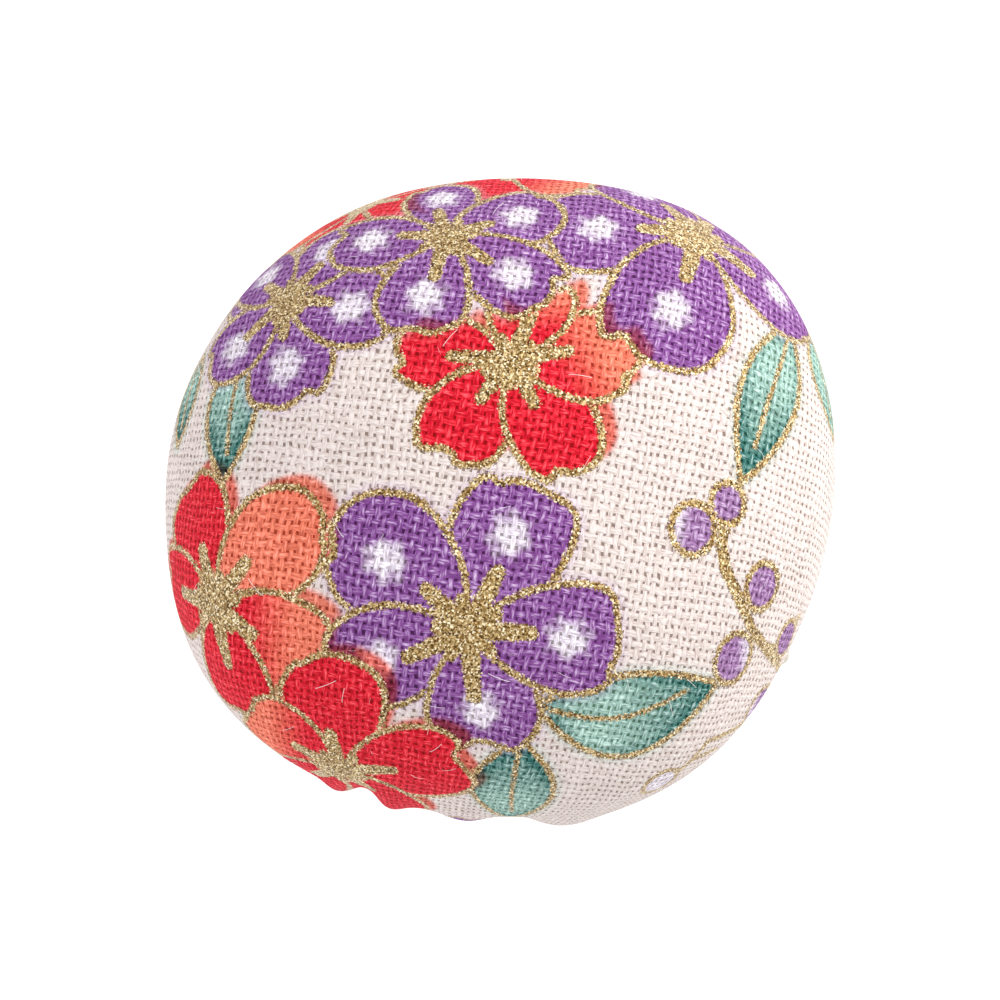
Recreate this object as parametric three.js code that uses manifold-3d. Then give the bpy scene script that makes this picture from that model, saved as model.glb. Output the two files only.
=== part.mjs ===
// A pin cushion worn on the wrist: a stuffed cotton ball glued into a plastic dish, on an elastic strap in two
// halves that turn on steel pins and close under the wrist with hook and loop.
// Millimetres, +Z up through the crown of the ball, the arm along Y. The origin is the middle of the flat face
// that rests on the wrist.
import * as THREE from "three";
import { mergeVertices } from "three/addons/utils/BufferGeometryUtils.js";
import Module from "manifold-3d";

const wasm = await Module();
wasm.setup();

const GAP = 0.3; // clearance between pieces that touch on the real object
const TURN_STEPS = 48; // sides of the round pieces

// Felt pad against the skin.
const FELT_RADIUS = 19.5;
const FELT_THICK = 2.4;

// Stuffed ball: a little oval in plan, flatter below than above.
const BALL_RADIUS = 31;
const BALL_LONG = 1.03; // plan stretch along the long axis
const BALL_SHORT = 0.971; // plan stretch across it
const BALL_LONG_DEG = 26; // direction of the long axis, from +X
const BALL_BOTTOM = 5.6;
const BALL_WIDEST = 28;
const BALL_CROWN = 51;
const BELLY_POWER = 2.3; // superellipse power of the lower half
const CROWN_POWER = 2.1; // and of the upper half
const CLOTH_THICK = 0.9;
const MOUTH_RADIUS = 5; // the gathered mouth under the ball
const THREAD_RING_RADIUS = 6.4;
const THREAD_RADIUS = 0.4;
const GUARD_RADIUS = 13;
const GUARD_THICK = 1.2;
const GUARD_BOTTOM = 8.6;

// Moulded dish that the ball is glued into.
const DISH_WALL = 1.4;
const DISH_FLOOR_RADIUS = 11.5;
const DISH_RIM_RADIUS = 20.6;
const DISH_RIM_TOP = 9.2;
const GLUE_RADIUS = 8.5;
const GLUE_THICK = 0.9;

// Strap pins and the lugs that hold them.
const PIN_RADIUS = 1;
const PIN_LENGTH = 25;
const PIN_X = 25;
const PIN_Z = 6;
const PIN_STEPS = 24;
const PIN_HOLE_RADIUS = 1.15;
const LUG_RADIUS = 2.9;
const LUG_THICK = 2.6;

// Elastic webbing. The worn strap follows half an ellipse round the wrist.
const WEB_WIDTH = 18;
const WEB_THICK = 1.3;
const LOOP_HALF_WIDTH = 28.5;
const LOOP_HALF_DEPTH = 24;
const LOOP_MIDDLE_Z = -13;
const FOLD_RADIUS = PIN_RADIUS + GAP + WEB_THICK; // outside of the webbing where it wraps its pin
const FOLD_CLOSES = 6; // below the pin, the folded end lies against the strap from here
const FOLD_ENDS = 13; // and is cut off here
const PROUD_FROM_DEG = 37; // below the middle, from here the hook strap is clear outside the loop strap
const HOOK_STRAP_END_DEG = -99;
const LOOP_STRAP_END_DEG = -139;
const PATCH_THICK = 0.9;
const PATCH_WIDTH = 16;
const PILE_HEIGHT = 0.6; // room between the two patches, for the hooks and the loops
const STRAPS_APART = WEB_THICK + 2 * (PATCH_THICK + GAP) + PILE_HEIGHT;
const HOOK_PATCH_LENGTH = 22;
const LOOP_PATCH_LENGTH = 27;
const PATCH_TO_END = 1.5; // webbing left bare past a patch
const STITCH_THICK = 0.4;
const STITCH_MARGIN = 1.2; // from a patch's edge to its seam
const TACK_DISTANCE = 9.5; // bar tack below the pin
const TACK_LENGTH = 1.8;
const TACK_WIDTH = 15;

const COLOURS = {
  cotton: { color: 0xece2d8, roughness: 0.9, metalness: 0 },
  wadding: { color: 0xf5f3ee, roughness: 1, metalness: 0 },
  card: { color: 0xd8d4cb, roughness: 0.7, metalness: 0 },
  thread: { color: 0xf0e9dc, roughness: 0.7, metalness: 0 },
  glue: { color: 0xe9e2c8, roughness: 0.4, metalness: 0 },
  plastic: { color: 0xf2eee6, roughness: 0.35, metalness: 0 },
  steel: { color: 0xb8babd, roughness: 0.3, metalness: 1 },
  felt: { color: 0xd9cdbf, roughness: 1, metalness: 0 },
  webbing: { color: 0xefe8da, roughness: 0.85, metalness: 0 },
  hookTape: { color: 0xe6dfd0, roughness: 0.6, metalness: 0 },
};

const radians = THREE.MathUtils.degToRad;
const cushion = new THREE.Group();

function addPiece(name, finish, geometry) {
  const mesh = new THREE.Mesh(geometry, new THREE.MeshStandardMaterial(COLOURS[finish]));
  mesh.name = name;
  cushion.add(mesh);
}

// A solid of revolution about Z. The profile holds [radius, height] pairs, from the bottom to the top.
function turned(profile, steps = TURN_STEPS) {
  const points = profile.map(([radius, height]) => new THREE.Vector2(radius, height));
  return new THREE.LatheGeometry(points, steps).rotateX(Math.PI / 2);
}

// A round rod or disc along Z between two heights.
function disc(radius, low, high, steps = TURN_STEPS) {
  return turned([[0, low], [radius, low], [radius, high], [0, high]], steps);
}

// A shape drawn in X and Z, as thick as width along Y and centred on it.
function slab(shape, width) {
  const options = { depth: width, bevelEnabled: false, curveSegments: PIN_STEPS / 2 };
  return new THREE.ExtrudeGeometry(shape, options).rotateX(Math.PI / 2).translate(0, width / 2, 0);
}

function toSolid(geometry) {
  const bare = geometry.clone();
  bare.deleteAttribute("normal");
  bare.deleteAttribute("uv");
  const merged = mergeVertices(bare, 1e-4);
  const corners = merged.index.array;
  const kept = [];
  for (let i = 0; i < corners.length; i += 3) {
    const [a, b, c] = corners.subarray(i, i + 3);
    if (a !== b && b !== c && c !== a) kept.push(a, b, c);
  }
  const mesh = new wasm.Mesh({
    numProp: 3,
    vertProperties: new Float32Array(merged.attributes.position.array),
    triVerts: new Uint32Array(kept),
  });
  return new wasm.Manifold(mesh);
}

function toGeometry(solid) {
  const mesh = solid.getMesh();
  const geometry = new THREE.BufferGeometry();
  geometry.setAttribute("position", new THREE.BufferAttribute(mesh.vertProperties, 3));
  geometry.setIndex(new THREE.BufferAttribute(mesh.triVerts, 1));
  geometry.computeVertexNormals();
  return geometry;
}

// ---- The stuffed ball ----

// The ball's profile, drawn inset millimetres inside its outer face, from the axis below to the crown.
function ballProfile(inset, steps) {
  const profile = [];
  for (let i = 0; i <= steps; i += 1) {
    const angle = radians(-90 + (180 * i) / steps);
    const below = angle < 0;
    const power = 2 / (below ? BELLY_POWER : CROWN_POWER);
    const height = (below ? BALL_WIDEST - BALL_BOTTOM : BALL_CROWN - BALL_WIDEST) - inset;
    const across = (BALL_RADIUS - inset) * Math.max(Math.cos(angle), 0) ** power;
    const up = Math.sign(angle) * height * Math.abs(Math.sin(angle)) ** power;
    profile.push([i === 0 || i === steps ? 0 : across, BALL_WIDEST + up]);
  }
  return profile;
}

// Stretches a round geometry into the ball's oval plan.
function oval(geometry) {
  const turn = radians(BALL_LONG_DEG);
  return geometry.rotateZ(-turn).scale(BALL_LONG, BALL_SHORT, 1).rotateZ(turn);
}

function printedCover() {
  const outside = toSolid(oval(turned(ballProfile(0, 26))));
  const inside = toSolid(oval(turned(ballProfile(CLOTH_THICK, 22))));
  const mouth = toSolid(disc(MOUTH_RADIUS, BALL_BOTTOM - 1, BALL_BOTTOM + 3));
  return toGeometry(outside.subtract(inside).subtract(mouth));
}

function waddingCore() {
  const filling = toSolid(oval(turned(ballProfile(CLOTH_THICK + GAP, 22))));
  const flat = GUARD_BOTTOM + GUARD_THICK + GAP;
  const below = toSolid(disc(BALL_RADIUS + 5, BALL_BOTTOM - 2, flat));
  return toGeometry(filling.subtract(below));
}

addPiece("printed_cover", "cotton", printedCover());
addPiece("wadding_core", "wadding", waddingCore());
addPiece("pin_guard_disc", "card", disc(GUARD_RADIUS, GUARD_BOTTOM, GUARD_BOTTOM + GUARD_THICK));

// The running thread that draws the mouth shut lies just inside the cloth.
const threadHeight = BALL_BOTTOM + CLOTH_THICK + 2 * GAP + THREAD_RADIUS;
const threadRing = new THREE.TorusGeometry(THREAD_RING_RADIUS, THREAD_RADIUS, 8, 36);
addPiece("gathering_thread", "thread", threadRing.translate(0, 0, threadHeight));

// ---- Base ----

const dishUnderside = FELT_THICK + GAP;
const dishFloor = dishUnderside + DISH_WALL;

// A lug is a round eye about the pin with an arm back to the dish.
function lug(side, middleY) {
  const shape = new THREE.Shape();
  shape.absarc(side * PIN_X, PIN_Z, LUG_RADIUS, 0, 2 * Math.PI);
  const eye = toSolid(slab(shape, LUG_THICK).translate(0, middleY, 0));
  const armIn = DISH_FLOOR_RADIUS + 3;
  const arm = new THREE.BoxGeometry(PIN_X - armIn, LUG_THICK, 2 * LUG_RADIUS);
  const armMiddle = side * (PIN_X + armIn) / 2;
  return eye.add(toSolid(arm.translate(armMiddle, middleY, PIN_Z)));
}

function dishBowl() {
  return toSolid(turned([
    [0, dishUnderside],
    [DISH_FLOOR_RADIUS + 0.6, dishUnderside],
    [17.2, 4.2],
    [DISH_RIM_RADIUS + DISH_WALL, DISH_RIM_TOP - 0.8],
    [DISH_RIM_RADIUS + 0.9, DISH_RIM_TOP],
    [DISH_RIM_RADIUS, DISH_RIM_TOP - 0.4],
    [16.6, 6.2],
    [DISH_FLOOR_RADIUS, dishFloor],
    [0, dishFloor],
  ]));
}

// Everything above the dish's inner face and out to its rim, which the lugs' arms must leave free.
function dishHollow() {
  return toSolid(turned([
    [0, dishFloor],
    [DISH_FLOOR_RADIUS, dishFloor],
    [16.6, 6.2],
    [DISH_RIM_RADIUS, DISH_RIM_TOP - 0.4],
    [DISH_RIM_RADIUS + 1, DISH_RIM_TOP + 6],
    [0, DISH_RIM_TOP + 6],
  ]));
}

function strapPin(side, radius, length) {
  const rod = disc(radius, -length / 2, length / 2, PIN_STEPS);
  return rod.rotateX(Math.PI / 2).translate(side * PIN_X, 0, PIN_Z);
}

function baseDish() {
  let dish = dishBowl();
  const lugY = WEB_WIDTH / 2 + 0.7 + LUG_THICK / 2;
  for (const side of [-1, 1]) {
    for (const end of [-1, 1]) dish = dish.add(lug(side, end * lugY));
  }
  for (const side of [-1, 1]) dish = dish.subtract(toSolid(strapPin(side, PIN_HOLE_RADIUS, PIN_LENGTH + 4)));
  return toGeometry(dish.subtract(dishHollow()));
}

addPiece("wrist_pad", "felt", disc(FELT_RADIUS, 0, FELT_THICK));
addPiece("base_dish", "plastic", baseDish());
addPiece("glue_pad", "glue", disc(GLUE_RADIUS, dishFloor + GAP, dishFloor + GAP + GLUE_THICK - 0.2));
addPiece("left_strap_pin", "steel", strapPin(-1, PIN_RADIUS, PIN_LENGTH));
addPiece("right_strap_pin", "steel", strapPin(1, PIN_RADIUS, PIN_LENGTH));

// ---- Strap halves ----
// Both are worked out on the +X side. The loop strap is then mirrored to -X.

const pinAngle = Math.atan2((PIN_Z - LOOP_MIDDLE_Z) / LOOP_HALF_DEPTH, PIN_X / LOOP_HALF_WIDTH);
const pinReach = Math.hypot((PIN_Z - LOOP_MIDDLE_Z) / LOOP_HALF_DEPTH, PIN_X / LOOP_HALF_WIDTH);
const joinAngle = pinAngle - Math.acos(1 / pinReach); // where a line from the pin touches the ellipse

// A point of the wrist ellipse, standing proud of it by some millimetres.
function loopPoint(angle, proud) {
  const across = new THREE.Vector2(Math.cos(angle) / LOOP_HALF_WIDTH, Math.sin(angle) / LOOP_HALF_DEPTH);
  const onEllipse = new THREE.Vector2(
    LOOP_HALF_WIDTH * Math.cos(angle),
    LOOP_MIDDLE_Z + LOOP_HALF_DEPTH * Math.sin(angle),
  );
  return onEllipse.addScaledVector(across.normalize(), proud);
}

// The strap's middle line as stations: point, outward normal, ellipse angle and distance from the pin.
function strapLine(endDegrees, proudAtEnd) {
  const points = [];
  const straightSteps = 8;
  const start = new THREE.Vector2(PIN_X, PIN_Z);
  const join = loopPoint(joinAngle, 0);
  for (let i = 0; i < straightSteps; i += 1) {
    points.push({ point: start.clone().lerp(join, i / straightSteps), angle: joinAngle });
  }
  const curveSteps = 36;
  for (let i = 0; i <= curveSteps; i += 1) {
    const angle = THREE.MathUtils.lerp(joinAngle, radians(endDegrees), i / curveSteps);
    const proud = proudAtEnd * THREE.MathUtils.smoothstep(-angle, -joinAngle, radians(PROUD_FROM_DEG));
    points.push({ point: loopPoint(angle, proud), angle });
  }
  let distance = 0;
  points.forEach((station, i) => {
    const before = points[Math.max(i - 1, 0)].point;
    const after = points[Math.min(i + 1, points.length - 1)].point;
    const along = after.clone().sub(before).normalize();
    distance += i > 0 ? station.point.distanceTo(before) : 0;
    station.normal = new THREE.Vector2(-along.y, along.x);
    station.distance = distance;
  });
  return points;
}

function offset(station, amount) {
  return station.point.clone().addScaledVector(station.normal, amount);
}

function mirrored(points, side) {
  return points.map((point) => new THREE.Vector2(side * point.x, point.y));
}

// Webbing wrapped round its pin, its cut end lying on the inner side as far as FOLD_ENDS.
function webbing(line, side) {
  const inner = (distance) => {
    if (distance > FOLD_ENDS) return WEB_THICK / 2;
    return THREE.MathUtils.lerp(FOLD_RADIUS, WEB_THICK * 1.5, Math.min(distance / FOLD_CLOSES, 1));
  };
  const outer = (distance) =>
    THREE.MathUtils.lerp(FOLD_RADIUS, WEB_THICK / 2, Math.min(distance / FOLD_CLOSES, 1));
  const outline = [];
  for (const station of line.slice(1).reverse()) outline.push(offset(station, outer(station.distance)));
  const wrapSteps = 14;
  const heading = Math.atan2(line[0].normal.y, line[0].normal.x);
  for (let i = 0; i <= wrapSteps; i += 1) {
    const angle = heading + (Math.PI * i) / wrapSteps;
    const reach = new THREE.Vector2(Math.cos(angle), Math.sin(angle));
    outline.push(line[0].point.clone().addScaledVector(reach, FOLD_RADIUS));
  }
  for (const station of line.slice(1)) outline.push(offset(station, -inner(station.distance)));
  const shape = new THREE.Shape(mirrored(outline, side));
  const hole = new THREE.Path();
  hole.absarc(side * PIN_X, PIN_Z, PIN_RADIUS + GAP, 0, 2 * Math.PI);
  shape.holes.push(hole);
  return slab(shape, WEB_WIDTH);
}

// The station at any distance along the strap.
function stationAt(line, distance) {
  const next = line.findIndex((station) => station.distance >= distance);
  const [before, after] = [line[next - 1], line[next]];
  const share = (distance - before.distance) / (after.distance - before.distance);
  const point = before.point.clone().lerp(after.point, share);
  const normal = before.normal.clone().lerp(after.normal, share).normalize();
  return { point, normal, distance };
}

// A strip on the strap between two distances, from near to far off its middle line.
function strip(line, side, [from, to], [near, far], width) {
  const steps = Math.max(2, Math.ceil((to - from) / 2));
  const stations = [];
  for (let i = 0; i <= steps; i += 1) stations.push(stationAt(line, from + ((to - from) * i) / steps));
  const outline = stations.map((station) => offset(station, near));
  for (const station of stations.reverse()) outline.push(offset(station, far));
  return slab(new THREE.Shape(mirrored(outline, side)), width);
}

// The seam that holds a patch: one thread round its edge, STITCH_MARGIN in from it.
function seam(line, side, [from, to], reach) {
  const layer = [reach - STITCH_THICK / 2, reach + STITCH_THICK / 2];
  const cut = [reach - STITCH_THICK, reach + STITCH_THICK];
  const outer = [from + STITCH_MARGIN, to - STITCH_MARGIN];
  const inner = [outer[0] + STITCH_THICK, outer[1] - STITCH_THICK];
  const width = PATCH_WIDTH - 2 * STITCH_MARGIN;
  const whole = toSolid(strip(line, side, outer, layer, width));
  return toGeometry(whole.subtract(toSolid(strip(line, side, inner, cut, width - 2 * STITCH_THICK))));
}

const hookLine = strapLine(HOOK_STRAP_END_DEG, STRAPS_APART);
const loopLine = strapLine(LOOP_STRAP_END_DEG, 0);
const hookEnd = hookLine[hookLine.length - 1].distance - PATCH_TO_END;
const loopEnd = loopLine[loopLine.length - 1].distance - PATCH_TO_END;
const hookSpan = [hookEnd - HOOK_PATCH_LENGTH, hookEnd];
const loopSpan = [loopEnd - LOOP_PATCH_LENGTH, loopEnd];
const tackSpan = [TACK_DISTANCE, TACK_DISTANCE + TACK_LENGTH];
const face = WEB_THICK / 2 + GAP;
const patchLayer = [face, face + PATCH_THICK];
const underLayer = [-face - PATCH_THICK, -face];
const threadLayer = [face, face + STITCH_THICK];
const threadReach = face + STITCH_THICK / 2;

addPiece("loop_strap", "webbing", webbing(loopLine, -1));
addPiece("loop_patch", "webbing", strip(loopLine, -1, loopSpan, patchLayer, PATCH_WIDTH));
addPiece("loop_patch_stitching", "thread", seam(loopLine, -1, loopSpan, -threadReach));
addPiece("loop_strap_bar_tack", "thread", strip(loopLine, -1, tackSpan, threadLayer, TACK_WIDTH));
addPiece("hook_strap", "webbing", webbing(hookLine, 1));
addPiece("hook_patch", "hookTape", strip(hookLine, 1, hookSpan, underLayer, PATCH_WIDTH));
addPiece("hook_patch_stitching", "thread", seam(hookLine, 1, hookSpan, threadReach));
addPiece("hook_strap_bar_tack", "thread", strip(hookLine, 1, tackSpan, threadLayer, TACK_WIDTH));

export default cushion;
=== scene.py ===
import math
import random

import bpy
import numpy as np
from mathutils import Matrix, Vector


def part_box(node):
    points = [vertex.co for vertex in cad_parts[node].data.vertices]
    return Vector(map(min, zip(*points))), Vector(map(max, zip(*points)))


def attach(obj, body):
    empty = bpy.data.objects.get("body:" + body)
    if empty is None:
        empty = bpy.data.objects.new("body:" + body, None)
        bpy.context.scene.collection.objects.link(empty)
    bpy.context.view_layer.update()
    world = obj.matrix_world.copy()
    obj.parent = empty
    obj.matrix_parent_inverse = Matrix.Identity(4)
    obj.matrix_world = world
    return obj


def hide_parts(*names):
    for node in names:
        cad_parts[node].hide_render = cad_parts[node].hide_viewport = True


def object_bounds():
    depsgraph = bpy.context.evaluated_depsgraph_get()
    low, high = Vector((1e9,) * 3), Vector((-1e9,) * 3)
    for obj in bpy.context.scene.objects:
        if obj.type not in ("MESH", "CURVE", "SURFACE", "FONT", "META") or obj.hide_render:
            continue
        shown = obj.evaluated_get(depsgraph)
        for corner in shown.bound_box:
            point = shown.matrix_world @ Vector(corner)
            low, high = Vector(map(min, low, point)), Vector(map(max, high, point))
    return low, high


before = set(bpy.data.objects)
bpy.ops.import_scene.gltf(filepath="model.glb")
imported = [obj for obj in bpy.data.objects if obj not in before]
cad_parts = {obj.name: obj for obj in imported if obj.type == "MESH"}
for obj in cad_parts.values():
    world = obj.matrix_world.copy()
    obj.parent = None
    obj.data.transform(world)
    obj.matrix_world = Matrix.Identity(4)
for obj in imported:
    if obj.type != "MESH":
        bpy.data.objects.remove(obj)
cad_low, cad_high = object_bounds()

MM = 0.001
SEED = 7
TINY = 1e-12  # keeps a division by nothing from failing

# ---------------------------------------------------------------------------------------------------------
# Camera, light and floor
# ---------------------------------------------------------------------------------------------------------

ball_low, ball_high = (np.array(corner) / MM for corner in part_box("printed_cover"))
BALL_BOTTOM, BALL_CROWN = ball_low[2], ball_high[2]
BALL_RADIUS = 31.0
BALL_WIDEST = 28.0  # height of the ball's widest section
CAMERA_ELEVATION = 80
CAMERA_DISTANCE = 349.5
CAMERA_LENS = 135
SENSOR = 36


def place(obj):
    bpy.context.scene.collection.objects.link(obj)
    return obj


def make_camera():
    """The cushion is seen from almost straight above, so that the ball hides its dish and strap."""
    data = bpy.data.cameras.new("camera")
    data.lens = CAMERA_LENS
    data.sensor_width = SENSOR
    data.clip_start = 0.01
    camera = place(bpy.data.objects.new("camera", data))
    aim = Vector((0, 0, BALL_WIDEST * MM))
    elevation = math.radians(CAMERA_ELEVATION)
    away = Vector((0, -math.cos(elevation), math.sin(elevation)))
    camera.location = aim + away * CAMERA_DISTANCE * MM
    camera.rotation_euler = (-away).to_track_quat("-Z", "Y").to_euler()
    bpy.context.scene.camera = camera


def make_light(name, azimuth, elevation, distance, size, watts, tint):
    """A square soft box, distance and size in metres, that faces the ball.

    Azimuth 0 is on the camera's side and 90 is towards +X.
    """
    data = bpy.data.lights.new(name, "AREA")
    data.shape = "SQUARE"
    data.size = size
    data.energy = watts
    data.color = linear(tint)[:3]
    lamp = place(bpy.data.objects.new(name, data))
    around, up = math.radians(azimuth), math.radians(elevation)
    away = Vector((math.sin(around) * math.cos(up), -math.cos(around) * math.cos(up), math.sin(up)))
    lamp.location = away * distance + Vector((0, 0, BALL_WIDEST * MM))
    lamp.rotation_euler = away.to_track_quat("Z", "Y").to_euler()


def linear(hex_colour):
    """An sRGB hex colour as linear RGBA."""
    parts = [int(hex_colour[i:i + 2], 16) / 255 for i in (1, 3, 5)]
    return [p / 12.92 if p <= 0.04045 else ((p + 0.055) / 1.055) ** 2.4 for p in parts] + [1.0]


def add_node(tree, kind, inputs=None, **settings):
    """Adds a shader or geometry node, sets it, and joins or fills its inputs, which go by name or number."""
    node = tree.nodes.new(kind)
    for name, value in settings.items():
        setattr(node, name, value)
    for key, value in (inputs or {}).items():
        if isinstance(value, bpy.types.NodeSocket):
            tree.links.new(value, node.inputs[key])
        else:
            node.inputs[key].default_value = value
    return node


def new_material(name):
    """An empty material with its Principled shader, as (material, tree, shader)."""
    material = bpy.data.materials.new(name)
    material.use_nodes = True
    tree = material.node_tree
    return material, tree, tree.nodes["Principled BSDF"]


def ramp(tree, factor, stops):
    """A colour ramp from (place, hex colour) pairs."""
    node = add_node(tree, "ShaderNodeValToRGB", {0: factor})
    while len(node.color_ramp.elements) < len(stops):
        node.color_ramp.elements.new(0.5)
    for element, (position, colour) in zip(node.color_ramp.elements, stops):
        element.position = position
        element.color = linear(colour)
    return node.outputs[0]


class Shades:
    """Short ways to add the nodes that the materials use most. Each gives the new node's output."""

    def __init__(self, tree):
        self.tree = tree

    def calc(self, operation, first, second=0.0, third=0.0):
        inputs = {0: first, 1: second, 2: third}
        return add_node(self.tree, "ShaderNodeMath", inputs, operation=operation).outputs[0]

    def span(self, value, low, high, to_low=0.0, to_high=1.0):
        """A value eased from one range to another."""
        inputs = {0: value, 1: low, 2: high, 3: to_low, 4: to_high}
        return add_node(self.tree, "ShaderNodeMapRange", inputs, interpolation_type="SMOOTHSTEP").outputs[0]

    def blend(self, factor, first, second, how="MIX"):
        inputs = {0: factor, 6: first, 7: second}
        return add_node(self.tree, "ShaderNodeMix", inputs, data_type="RGBA", blend_type=how).outputs[2]

    def times(self, colour, other):
        return self.blend(1.0, colour, other, "MULTIPLY")

    def ramp(self, factor, *stops):
        return ramp(self.tree, factor, stops)

    def deeper(self, colour, power):
        return add_node(self.tree, "ShaderNodeGamma", {0: colour, 1: power}).outputs[0]

    def noise(self, place_of, scale, detail=2.0, output="Fac"):
        inputs = {"Vector": place_of, "Scale": scale, "Detail": detail}
        return add_node(self.tree, "ShaderNodeTexNoise", inputs).outputs[output]

    def stretched(self, place_of, scale):
        return add_node(self.tree, "ShaderNodeMapping", {0: place_of, 3: scale}).outputs[0]

    def stored(self, name, output="Fac"):
        """A value that the mesh itself carries."""
        return add_node(self.tree, "ShaderNodeAttribute", attribute_name=name).outputs[output]

    def on_object(self):
        return add_node(self.tree, "ShaderNodeTexCoord").outputs["Object"]

    def raise_surface(self, shader, height, depth):
        """Gives a shader the small relief of a height, whose 0 to 1 stands for depth in millimetres."""
        inputs = {"Strength": 1.0, "Distance": depth * MM, "Height": height}
        self.tree.links.new(add_node(self.tree, "ShaderNodeBump", inputs).outputs[0], shader.inputs["Normal"])


ROOM_TINT, ROOM_LIGHT = "#fbfbfd", 0.76
FLOOR_HALF = 3.0  # half the floor's width, in metres
FLOOR_BELOW = 12  # how far the strap hangs above the floor
FLOOR_GLOW = 0.14  # the board is lit from behind, so that no shadow greys it


def make_surroundings():
    """A pale painted floor below the hanging strap, and an even pale room."""
    world = bpy.data.worlds.new("room")
    world.use_nodes = True
    world.node_tree.nodes["Background"].inputs[0].default_value = linear(ROOM_TINT)
    world.node_tree.nodes["Background"].inputs[1].default_value = ROOM_LIGHT
    bpy.context.scene.world = world
    bpy.context.scene.view_settings.view_transform = "Standard"
    half, height = FLOOR_HALF, cad_low[2] - FLOOR_BELOW * MM
    mesh = bpy.data.meshes.new("floor")
    corners = [(-half, -half, height), (half, -half, height), (half, half, height), (-half, half, height)]
    mesh.from_pydata(corners, [], [(0, 1, 2, 3)])
    material, tree, shader = new_material("white_painted_board")
    # Matt emulsion on board: almost white, with the faintest unevenness.
    shades = Shades(tree)
    mottle = shades.noise(shades.on_object(), 6.0, 3.0)
    tree.links.new(shades.ramp(mottle, (0.3, "#fafafa"), (0.7, "#ffffff")), shader.inputs[0])
    shader.inputs["Roughness"].default_value = 0.9
    shader.inputs["Emission Color"].default_value = linear("#ffffff")
    shader.inputs["Emission Strength"].default_value = FLOOR_GLOW
    mesh.materials.append(material)
    place(bpy.data.objects.new("floor", mesh))


make_camera()
make_light("window", 112, 34, 0.6, 0.5, 2.6, "#fffdfa")
make_light("fill", -80, 34, 0.6, 0.5, 1.2, "#fbfaff")
make_light("front", 20, 60, 0.6, 0.5, 0.35, "#ffffff")
make_light("back", 142, 16, 0.6, 0.4, 1.1, "#ffffff")
make_surroundings()

# ---------------------------------------------------------------------------------------------------------
# The printed cloth, laid flat: a round of cotton with its middle at the crown of the ball
# ---------------------------------------------------------------------------------------------------------

GOLD_HALF = 0.34  # half the width of a gold line
INKS = {
    "ground": "#ebe0db",
    "violet": "#9356a4",
    "red": "#ea1430",
    "orange": "#ff8a6c",
    "teal": "#2f7a70",
    "mint": "#a8d2c3",
    "white": "#f7f1fb",
    "lilac": "#c39adb",
}
INK_BLEED = (1.35, 1.0)  # how far the warm inks were printed off their outlines
FADE = 0.35  # soft edge of an ink area
HALO = (1.3, 0.3)  # how far a cool ink creeps past its outline, outermost first


def ink(name):
    return np.array(linear(INKS[name])[:3])


def ease(low, high, value):
    share = np.clip((value - low) / (high - low), 0, 1)
    return share * share * (3 - 2 * share)


def squared_to_segment(points, start, end):
    """Squared distance from points to the straight line between two points."""
    across, along = points[:, 0] - start[0], points[:, 1] - start[1]
    ex, ey = end[0] - start[0], end[1] - start[1]
    share = np.clip((across * ex + along * ey) / (ex * ex + ey * ey + TINY), 0, 1)
    return (across - share * ex) ** 2 + (along - share * ey) ** 2


def polygon_distance(points, corners):
    """Signed distance from points to a closed outline, negative inside."""
    inside = np.zeros(len(points), bool)
    nearest = np.full(len(points), np.inf)
    for start, end in zip(corners, np.roll(corners, -1, axis=0)):
        nearest = np.minimum(nearest, squared_to_segment(points, start, end))
        rise = end[1] - start[1]
        crosses = (start[1] > points[:, 1]) != (end[1] > points[:, 1])
        at = start[0] + (points[:, 1] - start[1]) * (end[0] - start[0]) / (rise if rise else TINY)
        inside ^= crosses & (points[:, 0] < at)
    distance = np.sqrt(nearest)
    return np.where(inside, -distance, distance)


def line_distance(points, corners):
    """Distance from points to an open line."""
    nearest = [squared_to_segment(points, start, end) for start, end in zip(corners[:-1], corners[1:])]
    return np.sqrt(np.min(nearest, axis=0))


def turned(points, degrees):
    angle = math.radians(degrees)
    c, s = math.cos(angle), math.sin(angle)
    return np.stack([points[:, 0] * c - points[:, 1] * s, points[:, 0] * s + points[:, 1] * c], axis=1)


def petal_outline(length, width, notch, hand):
    """A petal along +X from its flower's middle, broad and nicked at its tip. No two are quite alike."""
    around = np.linspace(0, 2 * math.pi, 90, endpoint=False)
    along = 0.54 + 0.46 * np.cos(around)
    wobble = 1 + 0.02 * np.sin(3 * around + hand * 5) + 0.015 * np.sin(5 * around + hand * 9)
    off = np.angle(np.exp(1j * (around - 0.35 * math.sin(hand * 7))))
    nick = notch * (np.exp(-(off / 0.13) ** 2) - 0.3 * np.exp(-((np.abs(off) - 0.33) / 0.15) ** 2))
    side = np.sign(np.sin(around)) * np.abs(np.sin(around)) ** 0.72
    across = 0.6 * width * side * np.clip(along, 0, 1) ** 0.33 * wobble
    return np.stack([length * along * wobble - nick, across], axis=1)


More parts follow.
